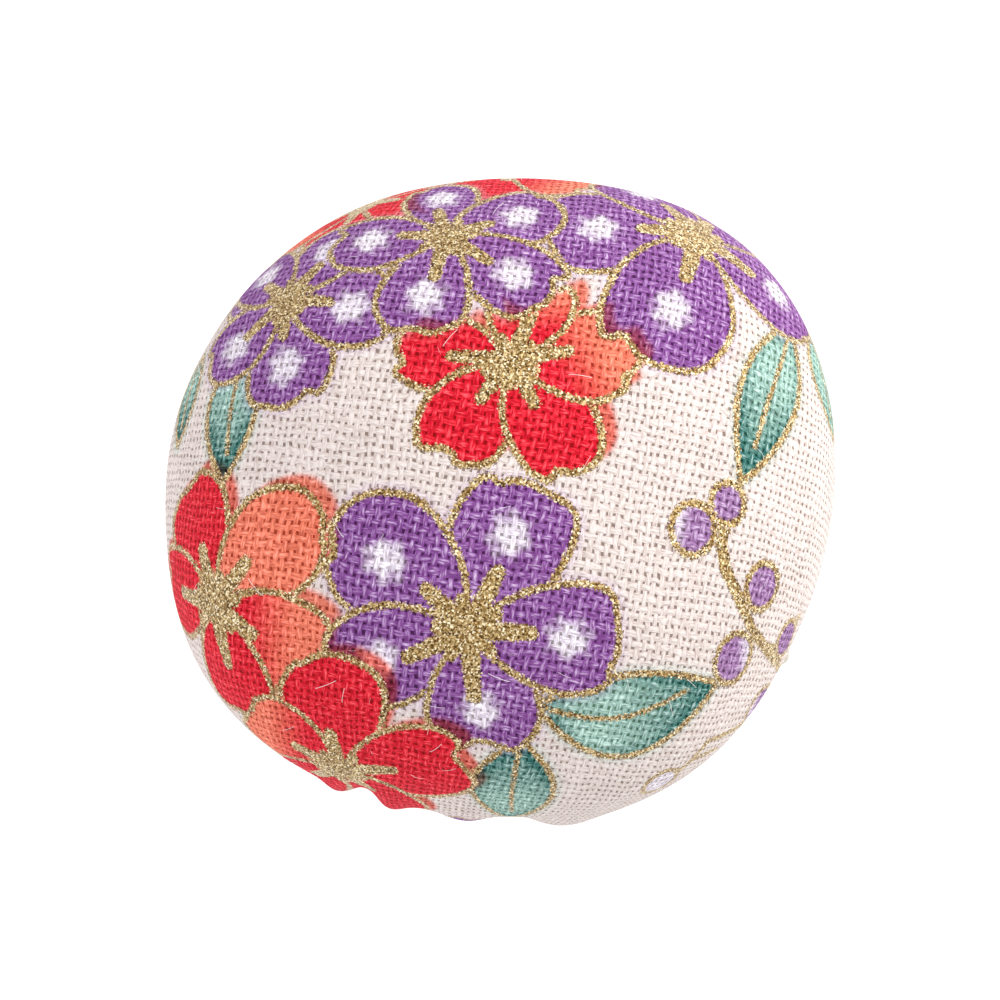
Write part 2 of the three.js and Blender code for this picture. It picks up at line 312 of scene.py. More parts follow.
class Cloth:
    """The inks and the gold on each point of the flat cloth. The warm inks have a plate of their own."""

    def __init__(self, points):
        self.points = points
        self.cool = np.tile(ink("ground"), (len(points), 1))
        self.warm = np.tile(ink("orange"), (len(points), 1))
        self.warm_cover = np.zeros(len(points))
        self.gold = np.full(len(points), 50.0)  # distance outside the nearest gold, negative in it
        self.inked = np.zeros(len(points))

    def near(self, middle, reach):
        return np.nonzero(np.hypot(*(self.points - middle).T) < reach)[0]

    def lay(self, where, colour, cover):
        """A cool ink: it leaves no warm ink where it lies."""
        self.warm_cover[where] *= 1 - cover
        self.inked[where] = np.maximum(self.inked[where], cover)
        cover = cover[:, None]
        self.cool[where] = self.cool[where] * (1 - cover) + colour * cover

    def lay_warm(self, where, colour, cover):
        """A warm ink: the ground is left bare under it."""
        self.warm_cover[where] = np.maximum(self.warm_cover[where], cover)
        self.inked[where] = np.maximum(self.inked[where], cover)
        cover = cover[:, None]
        self.cool[where] = self.cool[where] * (1 - cover) + ink("ground") * cover
        self.warm[where] = self.warm[where] * (1 - cover) + colour * cover

    def knock_out(self, where, distance):
        """What a motif covers of the gold under it goes."""
        self.gold[where] = np.maximum(self.gold[where], -distance + GOLD_HALF)

    def draw_gold(self, where, distance):
        self.gold[where] = np.minimum(self.gold[where], distance)


def paint_petal(cloth, flower, degrees, length, width, hand, inks, spot):
    """One petal: its ink from base to tip, a ragged white dab if it has a spot, and its gold outline."""
    middle = np.array(flower)
    where = cloth.near(middle, length + 4)
    if len(where) == 0:
        return
    local = turned(cloth.points[where] - middle, -degrees)
    distance = polygon_distance(local, petal_outline(length, width, 0.75 + 0.3 * math.sin(hand * 3), hand))
    cloth.knock_out(where, distance)
    base, tip = inks
    share = ease(0.3, 0.85, local[:, 0] / length + 0.25 * local[:, 1] / width)[:, None]
    colour = ink(base) * (1 - share) + ink(tip) * share
    if base == "violet":
        cloth.lay(where, ink("lilac"), 0.2 * ease(*HALO, distance))
        cloth.lay(where, colour, ease(FADE, -FADE, distance))
    else:
        cloth.lay_warm(where, colour, ease(FADE, -FADE, distance))
    if spot:
        dab = np.hypot((local[:, 0] - 0.65 * length) / 1.1, local[:, 1] - 0.3 * math.sin(hand * 11))
        ragged = 0.45 * np.sin(local[:, 0] * 2.9 + hand * 8) * np.sin(local[:, 1] * 2.7 + hand * 3)
        cloth.lay(where, ink("white"), 0.97 * ease(2.3, 0.8, dab + ragged))
    cloth.draw_gold(where, np.abs(distance) - GOLD_HALF)


def paint_star(cloth, flower, petals, size):
    """The stamens: a gold heart with a blunt ray up each petal and small nubs between."""
    middle = np.array(flower)
    where = cloth.near(middle, size * 3.5)
    local = cloth.points[where] - middle
    distance = np.hypot(local[:, 0], local[:, 1]) - size * 0.95
    for number, degrees in enumerate(petals):
        ray = turned(local, -degrees - 6 * math.sin(number * 2.4 + flower[0]))
        reach = size * (2.75 + 0.3 * math.sin(number * 1.7 + flower[1]))
        share = np.clip(ray[:, 0] / reach, 0, 1)
        body = np.hypot(ray[:, 0] - share * reach, ray[:, 1]) - size * (0.5 - 0.17 * share)
        distance = np.minimum(distance, body)
        nub = turned(local, -degrees - 36)
        share = np.clip(nub[:, 0] / (size * 1.35), 0, 1)
        distance = np.minimum(distance, np.hypot(nub[:, 0] - share * size * 1.35, nub[:, 1]) - size * 0.28)
    cloth.draw_gold(where, distance)


def paint_blossom(cloth, at, star, colours, *petals):
    """Petals, each (direction, length, width), about a gold star. colours has each one's (base, tip) inks."""
    for number, (degrees, length, width) in enumerate(petals):
        hand = at[0] * 0.37 + at[1] * 0.21 + number
        base, tip = colours[number % len(colours)]
        paint_petal(cloth, at, degrees, length, width, hand, (base, tip), base == "violet")
    paint_star(cloth, at, [degrees for degrees, _, _ in petals], star)


def paint_leaf(cloth, foot, tip, left, right, dark_at_tip=True, depth=1.0):
    """A leaf between two points, bulging by left and right of the line between them, with a gold midrib."""
    foot, tip = np.array(foot), np.array(tip)
    length = np.hypot(*(tip - foot))
    degrees = math.degrees(math.atan2(*(tip - foot)[::-1]))
    where = cloth.near((foot + tip) / 2, length / 2 + max(left, right) + 3)
    local = turned(cloth.points[where] - foot, -degrees)
    along = np.linspace(0, 1, 26)
    swell = np.sin(math.pi * along ** 0.9) ** 0.85
    upper = np.stack([along * length, left * swell], axis=1)
    lower = np.stack([along * length, -right * swell], axis=1)[::-1]
    distance = polygon_distance(local, np.concatenate([upper, lower[1:-1]]))
    cloth.knock_out(where, distance)
    share = local[:, 0] / length
    share = share if dark_at_tip else 1 - share
    foot_shade = 0.7 * ease(0.25, 0.0, share)
    edge = 0.45 * ease(-1.8, 0, distance)
    share = depth * np.clip(ease(0.2, 0.95, share) + foot_shade + edge - 0.12, 0, 1)[:, None]
    colour = ink("mint") * (1 - share) + ink("teal") * share
    cloth.lay(where, ink("mint"), 0.3 * ease(*HALO, distance))
    cloth.lay(where, colour, ease(FADE, -FADE, distance))
    middle = (left - right) / 2 * np.sin(math.pi * along)
    rib = np.stack([along * length * 0.8, middle * 0.9], axis=1)
    cloth.draw_gold(where, np.abs(distance) - GOLD_HALF)
    cloth.draw_gold(where, line_distance(local, rib) - GOLD_HALF * 0.8)


def paint_berry(cloth, at, radius, colour="violet", pale_side=None):
    """A round berry, paler towards pale_side in degrees if that is given."""
    middle = np.array(at)
    where = cloth.near(middle, radius + 3)
    local = cloth.points[where] - middle
    distance = np.hypot(local[:, 0], local[:, 1] * 0.92) - radius
    cloth.knock_out(where, distance)
    cloth.lay(where, ink(colour), 0.85 * ease(FADE, -FADE, distance))
    if pale_side is not None:
        side = turned(local, -pale_side)[:, 0] / radius
        cloth.lay(where, ink("white"), 0.9 * ease(0.1, 0.9, side) * ease(FADE, -FADE, distance))
    cloth.draw_gold(where, np.abs(distance) - GOLD_HALF)


def paint_twig(cloth, points, half_width=0.6):
    corners = np.array(points, float)
    middle = corners.mean(axis=0)
    where = cloth.near(middle, np.hypot(*(corners - middle).T).max() + 3)
    cloth.draw_gold(where, line_distance(cloth.points[where], corners) - half_width)


VIOLET, RED, ORANGE = (("violet", "violet"), ("red", "red"), ("orange", "orange"))
RED_TO_ORANGE, ORANGE_TO_RED = ("red", "orange"), ("orange", "red")
MIXED = [RED, ORANGE, RED_TO_ORANGE, RED, ORANGE_TO_RED]


def paint_leaves_and_berries(cloth):
    """The leaves round the crown and the sprig of berries to the right, placed one by one."""
    paint_leaf(cloth, (-25.0, 12.9), (-26.7, -1.0), 2.7, 4.0)
    paint_leaf(cloth, (-33.2, 15.0), (-36.0, 4.6), 2.0, 2.8)
    paint_leaf(cloth, (29.6, 15.8), (22.6, -1.5), 3.1, 3.8)
    paint_leaf(cloth, (34.0, 18.0), (38.2, 6.0), 3.0, 3.0, depth=0.4)
    paint_leaf(cloth, (3.7, -22.9), (22.0, -21.3), 2.6, 6.4)
    paint_leaf(cloth, (2.0, -26.8), (1.2, -41.6), 4.1, 4.8, dark_at_tip=False)
    stem = [(21.3, -5.1), (20.7, -7.3), (21.4, -9.9), (23.9, -13.5), (25.8, -16.0), (30.4, -19.2),
            (35.4, -22.1)]
    paint_twig(cloth, stem, 0.62)
    paint_twig(cloth, [(28.6, -18.0), (31.8, -18.8), (35.4, -15.2)])
    paint_berry(cloth, (21.2, -3.6), 1.8)
    paint_berry(cloth, (17.7, -6.2), 2.2, pale_side=170)
    paint_berry(cloth, (26.2, -11.4), 2.2)
    paint_berry(cloth, (23.8, -18.8), 2.5, pale_side=15)
    paint_berry(cloth, (33.4, -17.6), 2.1)
    paint_berry(cloth, (32.2, -26.4), 2.6, pale_side=180)
    paint_twig(cloth, [(20.0, -32.6), (21.6, -31.0), (23.0, -28.5), (25.0, -28.6), (29.4, -28.4)], 0.4)
    paint_twig(cloth, [(21.6, -31.0), (26.0, -30.8)], 0.35)
    paint_berry(cloth, (18.3, -33.8), 2.2, "white")


def paint_blossoms(cloth):
    """The blossoms round the crown, placed one by one. Each one lies over those before it."""
    paint_blossom(cloth, (0.9, 8.6), 1.75, [RED, RED, RED, RED_TO_ORANGE, RED_TO_ORANGE],
                  (170, 10.4, 7.4), (235, 10.6, 8.0), (301, 11.5, 8.0), (5, 11.0, 8.4), (72, 9.2, 7.6))
    paint_blossom(cloth, (-28.0, -12.7), 2.1, [RED, RED, ORANGE, RED_TO_ORANGE, RED],
                  (109, 13.2, 9.6), (172, 12.5, 10), (37, 13.9, 9.8), (332, 12.8, 9.4), (272, 12.5, 10))
    paint_blossom(cloth, (2.0, 40.5), 1.9, MIXED,
                  (250, 12.5, 10), (180, 12, 10), (310, 12, 10), (20, 12, 10), (100, 12, 10))
    paint_blossom(cloth, (-15.5, 33.5), 1.8, [RED, RED_TO_ORANGE, RED, RED_TO_ORANGE, RED],
                  (262, 11, 9.5), (196, 13, 9.5), (330, 11, 9.5), (50, 12, 9.5), (125, 13, 9.5))
    paint_blossom(cloth, (19.2, 24.1), 2.2, [VIOLET],
                  (180, 15.0, 11.8), (249, 16.2, 12), (340, 15.8, 11.5), (50, 14, 11), (112, 14, 11))
    paint_blossom(cloth, (-21.0, 17.3), 1.8, [VIOLET],
                  (-82, 11.9, 9.0), (-18, 11.4, 8.4), (212, 10.8, 8.2), (55, 10.5, 8), (130, 10.5, 8))
    paint_blossom(cloth, (-5.2, 22.6), 1.8, [VIOLET],
                  (98, 11.2, 7.8), (25, 12.0, 8.8), (322, 12.5, 8.2), (255, 11.4, 8.4), (176, 11.6, 7.8))
    paint_blossom(cloth, (-2.8, -15.6), 2.15, [VIOLET],
                  (66, 14.2, 10.4), (137, 15.0, 11), (197.5, 13.6, 9.8), (279, 12.2, 10.6), (355, 13.8, 10.0))
    paint_blossom(cloth, (-17.6, -31.7), 2.0, [RED, RED, RED_TO_ORANGE, RED, RED],
                  (82, 14.0, 10.4), (5, 14.2, 11.2), (146, 12.0, 10.4), (290, 13, 10), (214, 13, 10))


# The room that the motifs round the crown take, as (middle, radius), for the scattered ones to keep clear of.
CROWN_ROOM = (
    ((2.0, 40.5), 13), ((-15.5, 33.5), 13), ((19.4, 24.6), 13), ((-27.8, -12.3), 13), ((-17.2, -30.6), 13),
    ((30, -20), 8), ((2, -34), 7), ((35.5, 8), 8), ((-34, 10), 6), ((24, -31), 6),
    ((14, -41), 8), ((10, -48), 6), ((40, -8), 9), ((-10, 38), 8))
# The scattered motifs' sizes, with how many places are tried for each: blossoms, then leaves, then berries.
SCATTERED = ((12.5, 700), (10, 600), (6, 600), (3, 500))
SMALLEST_BLOSSOM, SMALLEST_LEAF = 7, 3
CROWN_REACH = 34  # the scattered motifs begin this far from the crown


def paint_sides(cloth, reach):
    """The same motifs, scattered without touching over the cloth that goes down the ball's sides."""
    rng = random.Random(SEED)
    placed = list(CROWN_ROOM)
    for size in [size for size, tries in SCATTERED for _ in range(tries)]:
        radius, angle = rng.uniform(CROWN_REACH, reach), rng.uniform(0, 2 * math.pi)
        at = (radius * math.cos(angle), radius * math.sin(angle))
        turn, pick = rng.uniform(0, 360), rng.random()
        room = 0.9 if size > SMALLEST_BLOSSOM else 1.0
        if any(math.hypot(at[0] - x, at[1] - y) < room * (size + taken) for (x, y), taken in placed):
            continue
        placed.append((at, size))
        if size > SMALLEST_BLOSSOM:
            colours = [VIOLET] if pick < 0.45 else MIXED if pick < 0.75 else [RED]
            petals = [(turn + 72 * k, size * rng.uniform(0.94, 1.04), size * 0.74) for k in range(5)]
            paint_blossom(cloth, at, size * 0.15, colours, *petals)
        elif size > SMALLEST_LEAF:
            lean = np.array([math.cos(math.radians(turn)), math.sin(math.radians(turn))]) * (size + 1)
            paint_leaf(cloth, tuple(np.array(at) - lean), tuple(np.array(at) + lean), 3.2, 3.4)
        else:
            paint_berry(cloth, at, 2.2, "violet" if pick < 0.7 else "white")


def printed(points, reach):
    """Each point's colour, its distance from the gold, its share of ink, and how much of that ink wears and
    takes a painted highlight on the thread tops.

    The warm plate was laid off true.
    """
    true, slipped = Cloth(points), Cloth(points - np.array(INK_BLEED))
    for plate in (true, slipped):
        paint_sides(plate, reach)
        paint_leaves_and_berries(plate)
        paint_blossoms(plate)
    fringe = 0.35 * slipped.warm + 0.65 * ink("orange")
    over = 0.95 * slipped.warm_cover[:, None]
    inks = true.cool * (1 - over) + true.cool * fringe * over
    own = true.warm_cover[:, None]
    inks = inks * (1 - own) + true.warm * own
    inked = np.maximum(true.inked, slipped.warm_cover)
    return inks, true.gold, inked, inked * (1 - 0.85 * np.maximum(own, over)[:, 0])


# ---------------------------------------------------------------------------------------------------------
# The ball
# ---------------------------------------------------------------------------------------------------------

BELLY_POWER, CROWN_POWER = 2.3, 2.1  # superellipse powers below and above the widest section
MOUTH_RADIUS = 5.0
PLEATS = 30  # short ones, all round the mouth
CLOTH_STEP = 0.36  # spacing of the cloth's points
CLOTH_THICK = 0.9
LINING_STEPS = 12  # the inside, which doesn't show, has one ring of points for this many outside
PRINT_TO_MOUTH = 4.0  # the motifs stop this far short of the mouth
UV_SPAN = 180.0  # the cloth's own map is a square this wide
# What plain round and oval leave out of the ball's plan: (lobes, share of the radius, direction of one lobe).
PLAN_LOBES = ((1, 0.012, 72), (2, 0.029, 27), (3, 0.013, 49), (4, 0.02, 37), (5, 0.004, -2), (6, 0.005, -10))
# Folds drawn in by the gathers: (direction, height that the fold dies out at, depth, half width).
LONG_FOLDS = ((-114.5, 34, 1.6, 1.3), (-103, 33, 0.7, 2.4), (-88.5, 32, 1.5, 2.6), (66, 33, 0.9, 1.9),
              (160, 27, 0.8, 3.0), (15, 26, 0.7, 3.0))


def profile_point(angle):
    """Radius and height of the ball's profile at an angle from -90 (below) to 90 (crown)."""
    below = angle < 0
    power = np.where(below, 2 / BELLY_POWER, 2 / CROWN_POWER)
    height = np.where(below, BALL_WIDEST - BALL_BOTTOM, BALL_CROWN - BALL_WIDEST)
    radius = BALL_RADIUS * np.clip(np.cos(angle), 0, 1) ** power
    return radius, BALL_WIDEST + np.sign(angle) * height * np.abs(np.sin(angle)) ** power


def cloth_profile():
    """Points evenly spaced from the crown to the mouth, with how far each is along the cloth."""
    angle = np.linspace(math.pi / 2, -math.pi / 2, 4000)
    radius, height = profile_point(angle)
    travelled = np.concatenate([[0], np.cumsum(np.hypot(np.diff(radius), np.diff(height)))])
    below = angle < 0
    mouth = np.interp(MOUTH_RADIUS, radius[below][::-1], travelled[below][::-1])
    count = int(mouth / CLOTH_STEP)
    along = np.linspace(0, mouth, count + 1)
    return along, np.interp(along, travelled, radius), np.interp(along, travelled, height)


def gathers(around, height):
    """How far the pleats of the gathered mouth pull the cloth in, by direction and height."""
    rng = random.Random(SEED + 1)
    pull = np.zeros_like(height)
    for number in range(PLEATS):
        direction = 360 / PLEATS * (number + rng.uniform(-0.3, 0.3))
        top, depth, half = rng.uniform(15, 25), rng.uniform(0.5, 1.15), rng.uniform(0.8, 1.3)
        pull += fold(around, height, direction, top, depth, half)
    for direction, top, depth, half in LONG_FOLDS:
        pull += fold(around, height, direction, top, depth, half)
    return pull


def fold(around, height, direction, top, depth, half):
    """One crease running up from the mouth and dying out at a height."""
    swing = np.angle(np.exp(1j * (around - math.radians(direction))))
    off = swing * BALL_RADIUS
    fade = ease(top, top - 12, height)
    crease = np.exp(-(off / half) ** 2) - 0.35 * np.exp(-((np.abs(off) - 2.2 * half) / (1.1 * half)) ** 2)
    return depth * fade * crease


def ball_surface(around, radius, height, inset=0.0):
    """The stuffed ball's surface in millimetres, for cloth points given by direction, radius and height."""
    share = radius / BALL_RADIUS
    plan = np.ones_like(around)
    for lobes, amount, direction in PLAN_LOBES:
        plan += amount * np.cos(lobes * (around - math.radians(direction))) * share ** 2
    pull = gathers(around, height) + inset
    lumps = 0.22 * np.sin(3.1 * around + height * 0.21) * np.sin(height * 0.17 + 2 * around + 1.3) * share
    lumps += 0.12 * np.sin(7 * around - height * 0.31 + 0.6) * np.sin(height * 0.37 + 0.4) * share
    # The pull is along the surface's own slope: inwards at the sides, and straight down or up near the axis.
    above = height > BALL_WIDEST
    tall = np.where(above, BALL_CROWN - BALL_WIDEST, BALL_WIDEST - BALL_BOTTOM)
    lift = (height - BALL_WIDEST) / tall
    steep = np.sqrt(share ** 2 + lift ** 2) + TINY
    out = radius * plan - (pull - lumps) * share / steep
    up = height - (pull - lumps) * lift / steep
    return np.stack([out * np.cos(around), out * np.sin(around), up], axis=-1)


def grid_faces(rings, sectors):
    """Quads between rings of points that close on themselves, each facing away from the axis."""
    ring, sector = np.meshgrid(np.arange(rings - 1), np.arange(sectors), indexing="ij")
    here, beside = ring * sectors + sector, ring * sectors + (sector + 1) % sectors
    return np.stack([here, here + sectors, beside + sectors, beside], axis=-1).reshape(-1, 4)


def capped_faces(rings, sectors):
    """The faces of rings of points that a first and a last point on the axis close off."""
    last = rings * sectors + 1
    under = last - sectors
    faces = [(0, 1 + s, 1 + (s + 1) % sectors) for s in range(sectors)]
    faces += (grid_faces(rings, sectors) + 1).tolist()
    faces += [(last, under + (s + 1) % sectors, under + s) for s in range(sectors)]
    return faces


def mesh_object(name, points, faces):
    """A smooth mesh object from points in millimetres and faces of three or more corners."""
    mesh = bpy.data.meshes.new(name)
    mesh.from_pydata((np.asarray(points) * MM).tolist(), [], faces)
    mesh.validate()
    mesh.polygons.foreach_set("use_smooth", [True] * len(mesh.polygons))
    return place(bpy.data.objects.new(name, mesh))


def store_values(piece, **columns):
    """Gives each point of a piece its own values, for its material to read."""
    for name, values in columns.items():
        piece.data.attributes.new(name, "FLOAT", "POINT").data.foreach_set("value", values)


def skin_rings(around, radius, height, inset=0.0):
    """Rings of points on the ball, one for each radius and height of its profile."""
    grid_around, grid_radius = np.meshgrid(around, radius)
    grid_height = np.repeat(height, len(around)).reshape(grid_radius.shape)
    if callable(inset):
        inset = inset(grid_around, grid_height)
    return ball_surface(grid_around, grid_radius, grid_height, inset).reshape(-1, 3)


def flat_rings(around, along):
    """The same rings' places on the flat cloth."""
    across, up = np.outer(along, np.cos(around)), np.outer(along, np.sin(around))
    return np.stack([across, up], axis=-1).reshape(-1, 2)


def make_cover():
    """The printed cover: its outside from crown to mouth, then its inside back up, as one closed skin."""
    along, radius, height = cloth_profile()
    sectors = int(2 * math.pi * BALL_RADIUS / CLOTH_STEP)
    around = np.linspace(0, 2 * math.pi, sectors, endpoint=False)
    inner = slice(len(along) - 1, 0, -LINING_STEPS)
    outside = skin_rings(around, radius[1:], height[1:])
    inside = skin_rings(around, radius[inner], height[inner], CLOTH_THICK)
    points = np.concatenate([[[0, 0, BALL_CROWN]], outside, inside, [[0, 0, BALL_CROWN - CLOTH_THICK]]])
    flat = [[[0, 0]], flat_rings(around, along[1:]), flat_rings(around, along[inner]), [[0, 0]]]
    flat = np.concatenate(flat)
    rings = len(radius[1:]) + len(radius[inner])
    cover = mesh_object("cover", points, capped_faces(rings, sectors))
    inks, gold, inked, worn = printed(flat, along[-1] - PRINT_TO_MOUTH)
    mesh = cover.data
    colours = mesh.color_attributes.new("ink", "FLOAT_COLOR", "POINT")
    colours.data.foreach_set("color", np.concatenate([inks, np.ones((len(flat), 1))], axis=1).ravel())
    store_values(cover, gold_mm=gold, inked=inked, worn=worn)
    corner_points = np.empty(len(mesh.loops), np.int32)
    mesh.loops.foreach_get("vertex_index", corner_points)
    uv = flat[corner_points] / UV_SPAN + 0.5
    mesh.uv_layers.new(name="cloth").data.foreach_set("uv", uv.ravel())
    return cover


# Plain-weave cotton-linen, 13 to 14 threads a centimetre one way and 11 to 12 the other, screen printed. The
# inks sink into the threads, and the gaps between threads are painted dark as shade. The gold is glitter in a
# clear binder.
WARP_PITCH, WEFT_PITCH = 0.735, 0.87
WEAVE_TURN = -9.8  # degrees that the weave is turned on the ball
WEAVE_DRIFT = 1.6  # how far the threads stray, from side to side
GAP_SHARE = 0.38  # how much of |sin| across a thread is gap
THREAD_RELIEF = 0.14
GLITTER = 0.15  # size of a flake


def lay_threads(shades, cloth_mm):
    """The cloth's places turned to lie along its threads, in millimetres and counted in threads."""
    tree = shades.tree
    drift = shades.noise(cloth_mm, 0.09, output="Color")
    drift = add_node(tree, "ShaderNodeVectorMath", {0: drift, 1: (0.5,) * 3}, operation="SUBTRACT").outputs[0]
    inputs = {0: drift, 1: (WEAVE_DRIFT,) * 3, 2: cloth_mm}
    drifted = add_node(tree, "ShaderNodeVectorMath", inputs, operation="MULTIPLY_ADD").outputs[0]
    turn = (0, 0, math.radians(-WEAVE_TURN))
    on_threads = add_node(tree, "ShaderNodeMapping", {0: drifted, 2: turn}).outputs[0]
    return on_threads, shades.stretched(on_threads, (1 / WARP_PITCH, 1 / WEFT_PITCH, 1))


def thread_set(shades, on_threads, threads, sine, bow, is_warp):
    """The warp or the weft, as (height, share of thread, slubs, fibres). bow lifts the warp, not the weft."""
    def drawn(across, along):
        return (across, along, 1) if is_warp else (along, across, 1)

    slub = shades.noise(shades.stretched(threads, drawn(1.0, 0.13)), 0.8)
    # Fibres lie along each thread, too fine to see singly: they are drawn about a fifth of a millimetre wide.
    fibre = shades.noise(shades.stretched(on_threads, drawn(5.5, 1.3)), 1.0, 4.0)
    across = shades.calc("ABSOLUTE", sine)
    gap = shades.calc("MULTIPLY_ADD", slub, -1.1, GAP_SHARE + 0.55)
    here = shades.span(shades.calc("SUBTRACT", across, gap), -0.1, 0.12)
    lifted = shades.calc("ADD" if is_warp else "SUBTRACT", shades.calc("POWER", across, 0.5), bow)
    return shades.calc("MULTIPLY", lifted, here), here, slub, fibre


def weave(shades, cloth_mm):
    """Warp over and under weft, as (relief, share of thread, fibres, change from patch to patch)."""
    calc = shades.calc
    on_threads, threads = lay_threads(shades, cloth_mm)
    split = add_node(shades.tree, "ShaderNodeSeparateXYZ", {0: threads})
    sway = calc("MULTIPLY_ADD", shades.noise(threads, 0.45), 0.9, -0.45)
    warp_sine = calc("SINE", calc("MULTIPLY", calc("ADD", split.outputs[0], sway), math.pi))
    weft_sine = calc("SINE", calc("MULTIPLY", calc("SUBTRACT", split.outputs[1], sway), math.pi))
    bow = calc("MULTIPLY", calc("MULTIPLY", warp_sine, weft_sine), 0.36)
    warp, warp_here, warp_slub, warp_fibre = thread_set(shades, on_threads, threads, warp_sine, bow, True)
    weft, weft_here, weft_slub, weft_fibre = thread_set(shades, on_threads, threads, weft_sine, bow, False)
    warp_on_top = shades.span(calc("SUBTRACT", warp, weft), -0.15, 0.15)
    fibres = add_node(shades.tree, "ShaderNodeMix", {0: warp_on_top, 2: weft_fibre, 3: warp_fibre}).outputs[0]
    relief = calc("MULTIPLY_ADD", fibres, 0.9, calc("SMOOTH_MAX", warp, weft, 0.08))
    patch = calc("ADD", calc("MULTIPLY", warp_slub, 0.5), calc("MULTIPLY", weft_slub, 0.5))
    return relief, calc("MAXIMUM", warp_here, weft_here), fibres, patch


def inks_on_threads(shades, relief, solid, fibres, patch):
    """Painted shade in low threads and gaps, which take a deeper, darker ink, and on thread tops worn ink
    with a painted highlight.
    """
    calc, span, blend, times = shades.calc, shades.span, shades.blend, shades.times
    inks, inked, worn = shades.stored("ink", "Color"), shades.stored("inked"), shades.stored("worn")
    # Painted shade: the ink is darkened on low threads, and darker still in the gaps where there is no
    # thread.
    low = times(shades.deeper(inks, 1.22), shades.ramp(worn, (0, "#ebe4e1"), (1, "#e2dce0")))
    hole = times(shades.deeper(inks, 1.5), shades.ramp(worn, (0, "#a0968f"), (1, "#a2a190")))
    # Painted highlight: high threads are lightened towards white, partly ink worn bare and partly light;
    # inked tops are brightened more.
    bare_and_highlit = calc("MULTIPLY", span(relief, 1.1, 2.0), span(fibres, 0.38, 0.66))
    bare_and_highlit = calc("MULTIPLY", bare_and_highlit, span(patch, 0.35, 0.6, 0.4, 1.0))
    high = blend(calc("MULTIPLY", bare_and_highlit, calc("MULTIPLY_ADD", worn, 0.3, 0.06)), inks, linear("#ffffff"))
    high = blend(calc("MULTIPLY", bare_and_highlit, inked), high, times(high, (1.25, 1.25, 1.25, 1.0)))
    # Painted light by height: low threads take the painted shade, high ones the painted highlight.
    cloth = blend(span(relief, 0.75, 1.6), low, high)
    cloth = blend(span(patch, 0.3, 0.7, 0.14, 0.0), cloth, linear("#c9bdb6"), "MULTIPLY")
    # Single fibres take the ink unevenly.
    plain_flecks = shades.ramp(fibres, (0.32, "#dcd5d2"), (0.55, "#ffffff"))
    inked_flecks = shades.ramp(fibres, (0.33, "#cbc2c6"), (0.6, "#ffffff"))
    # Where there is no thread, the gap shows painted shade.
    return blend(solid, hole, times(cloth, blend(inked, plain_flecks, inked_flecks)))


def glitter(shades, cloth_mm, solid):
    """Glitter flakes, each with its own tilt and its own painted glint or shade, as (share of gold, colour,
    height).
    """
    inputs = {"Vector": cloth_mm, "Scale": 1 / GLITTER, "Randomness": 1.0}
    flakes = add_node(shades.tree, "ShaderNodeTexVoronoi", inputs)
    flake = add_node(shades.tree, "ShaderNodeSeparateColor", {0: flakes.outputs["Color"]})
    # Painted glints and shade: flake colours run from dark brown to near white, as if each flake caught the
    # light or missed it.
    colour = shades.ramp(flake.outputs[0], (0.0, "#472d10"), (0.2, "#7a5a2b"), (0.5, "#a98b58"),
                         (0.78, "#dabd84"), (0.94, "#fff2cf"))
    ragged = shades.calc("MULTIPLY_ADD", flake.outputs[1], 0.3, shades.stored("gold_mm"))
    ragged = shades.calc("SUBTRACT", ragged, shades.calc("MULTIPLY", solid, 0.14))
    gold = shades.span(ragged, 0.06, -0.04)
    height = shades.calc("MULTIPLY", gold, shades.calc("MULTIPLY_ADD", flake.outputs[2], 0.5, 0.25))
    return gold, colour, height


def printed_cotton():
    material, tree, shader = new_material("printed_cotton")
    shades = Shades(tree)
    uv = add_node(tree, "ShaderNodeUVMap", uv_map="cloth").outputs[0]
    to_middle = (-UV_SPAN / 2, -UV_SPAN / 2, 0)
    cloth_mm = add_node(tree, "ShaderNodeMapping", {0: uv, 1: to_middle, 3: (UV_SPAN,) * 3}).outputs[0]
    relief, solid, fibres, patch = weave(shades, cloth_mm)
    cloth = inks_on_threads(shades, relief, solid, fibres, patch)
    gold, painted_glint_gold, gold_height = glitter(shades, cloth_mm, solid)
    tree.links.new(shades.blend(gold, cloth, painted_glint_gold), shader.inputs["Base Color"])
    tree.links.new(shades.calc("MULTIPLY", gold, 0.45), shader.inputs["Metallic"])
    tree.links.new(shades.span(gold, 0, 1, 0.86, 0.42), shader.inputs["Roughness"])
    shader.inputs["Sheen Weight"].default_value = 0.03
    shader.inputs["Sheen Roughness"].default_value = 0.5
    shader.inputs["Specular IOR Level"].default_value = 0.12
    shades.raise_surface(shader, shades.calc("ADD", relief, gold_height), THREAD_RELIEF)
    return material


def loose_fibre(name, colour):
    """Stray cotton and wool fibres: thin, pale and soft, so that they catch the light."""
    material, tree, shader = new_material(name)
    shades = Shades(tree)
    tone = shades.noise(shades.on_object(), 900.0)
    tree.links.new(shades.ramp(tone, (0.3, colour), (0.7, "#ffffff")), shader.inputs["Base Color"])
    shader.inputs["Roughness"].default_value = 0.7
    shader.inputs["Sheen Weight"].default_value = 0.2
    return material


# ---------------------------------------------------------------------------------------------------------
# Threads, hooks, loops and fibres: one bent length of round thread, set on every point of a carrier
# ---------------------------------------------------------------------------------------------------------

# Each is a curve's start, two handles and end, as shares of its length (along) and of its height (up).
STITCH = ((-0.5, -0.35), (-0.42, 1.0), (0.42, 1.0), (0.5, -0.35))
PILE_LOOP = ((-0.5, -0.1), (-1.1, 1.3), (1.1, 1.3), (0.5, -0.1))
PILE_HOOK = ((0.0, -0.1), (-0.15, 1.45), (1.1, 1.35), (1.0, 0.42))
FIBRE = ((0.0, -0.1), (0.1, 0.7), (0.6, 1.1), (1.0, 0.75))
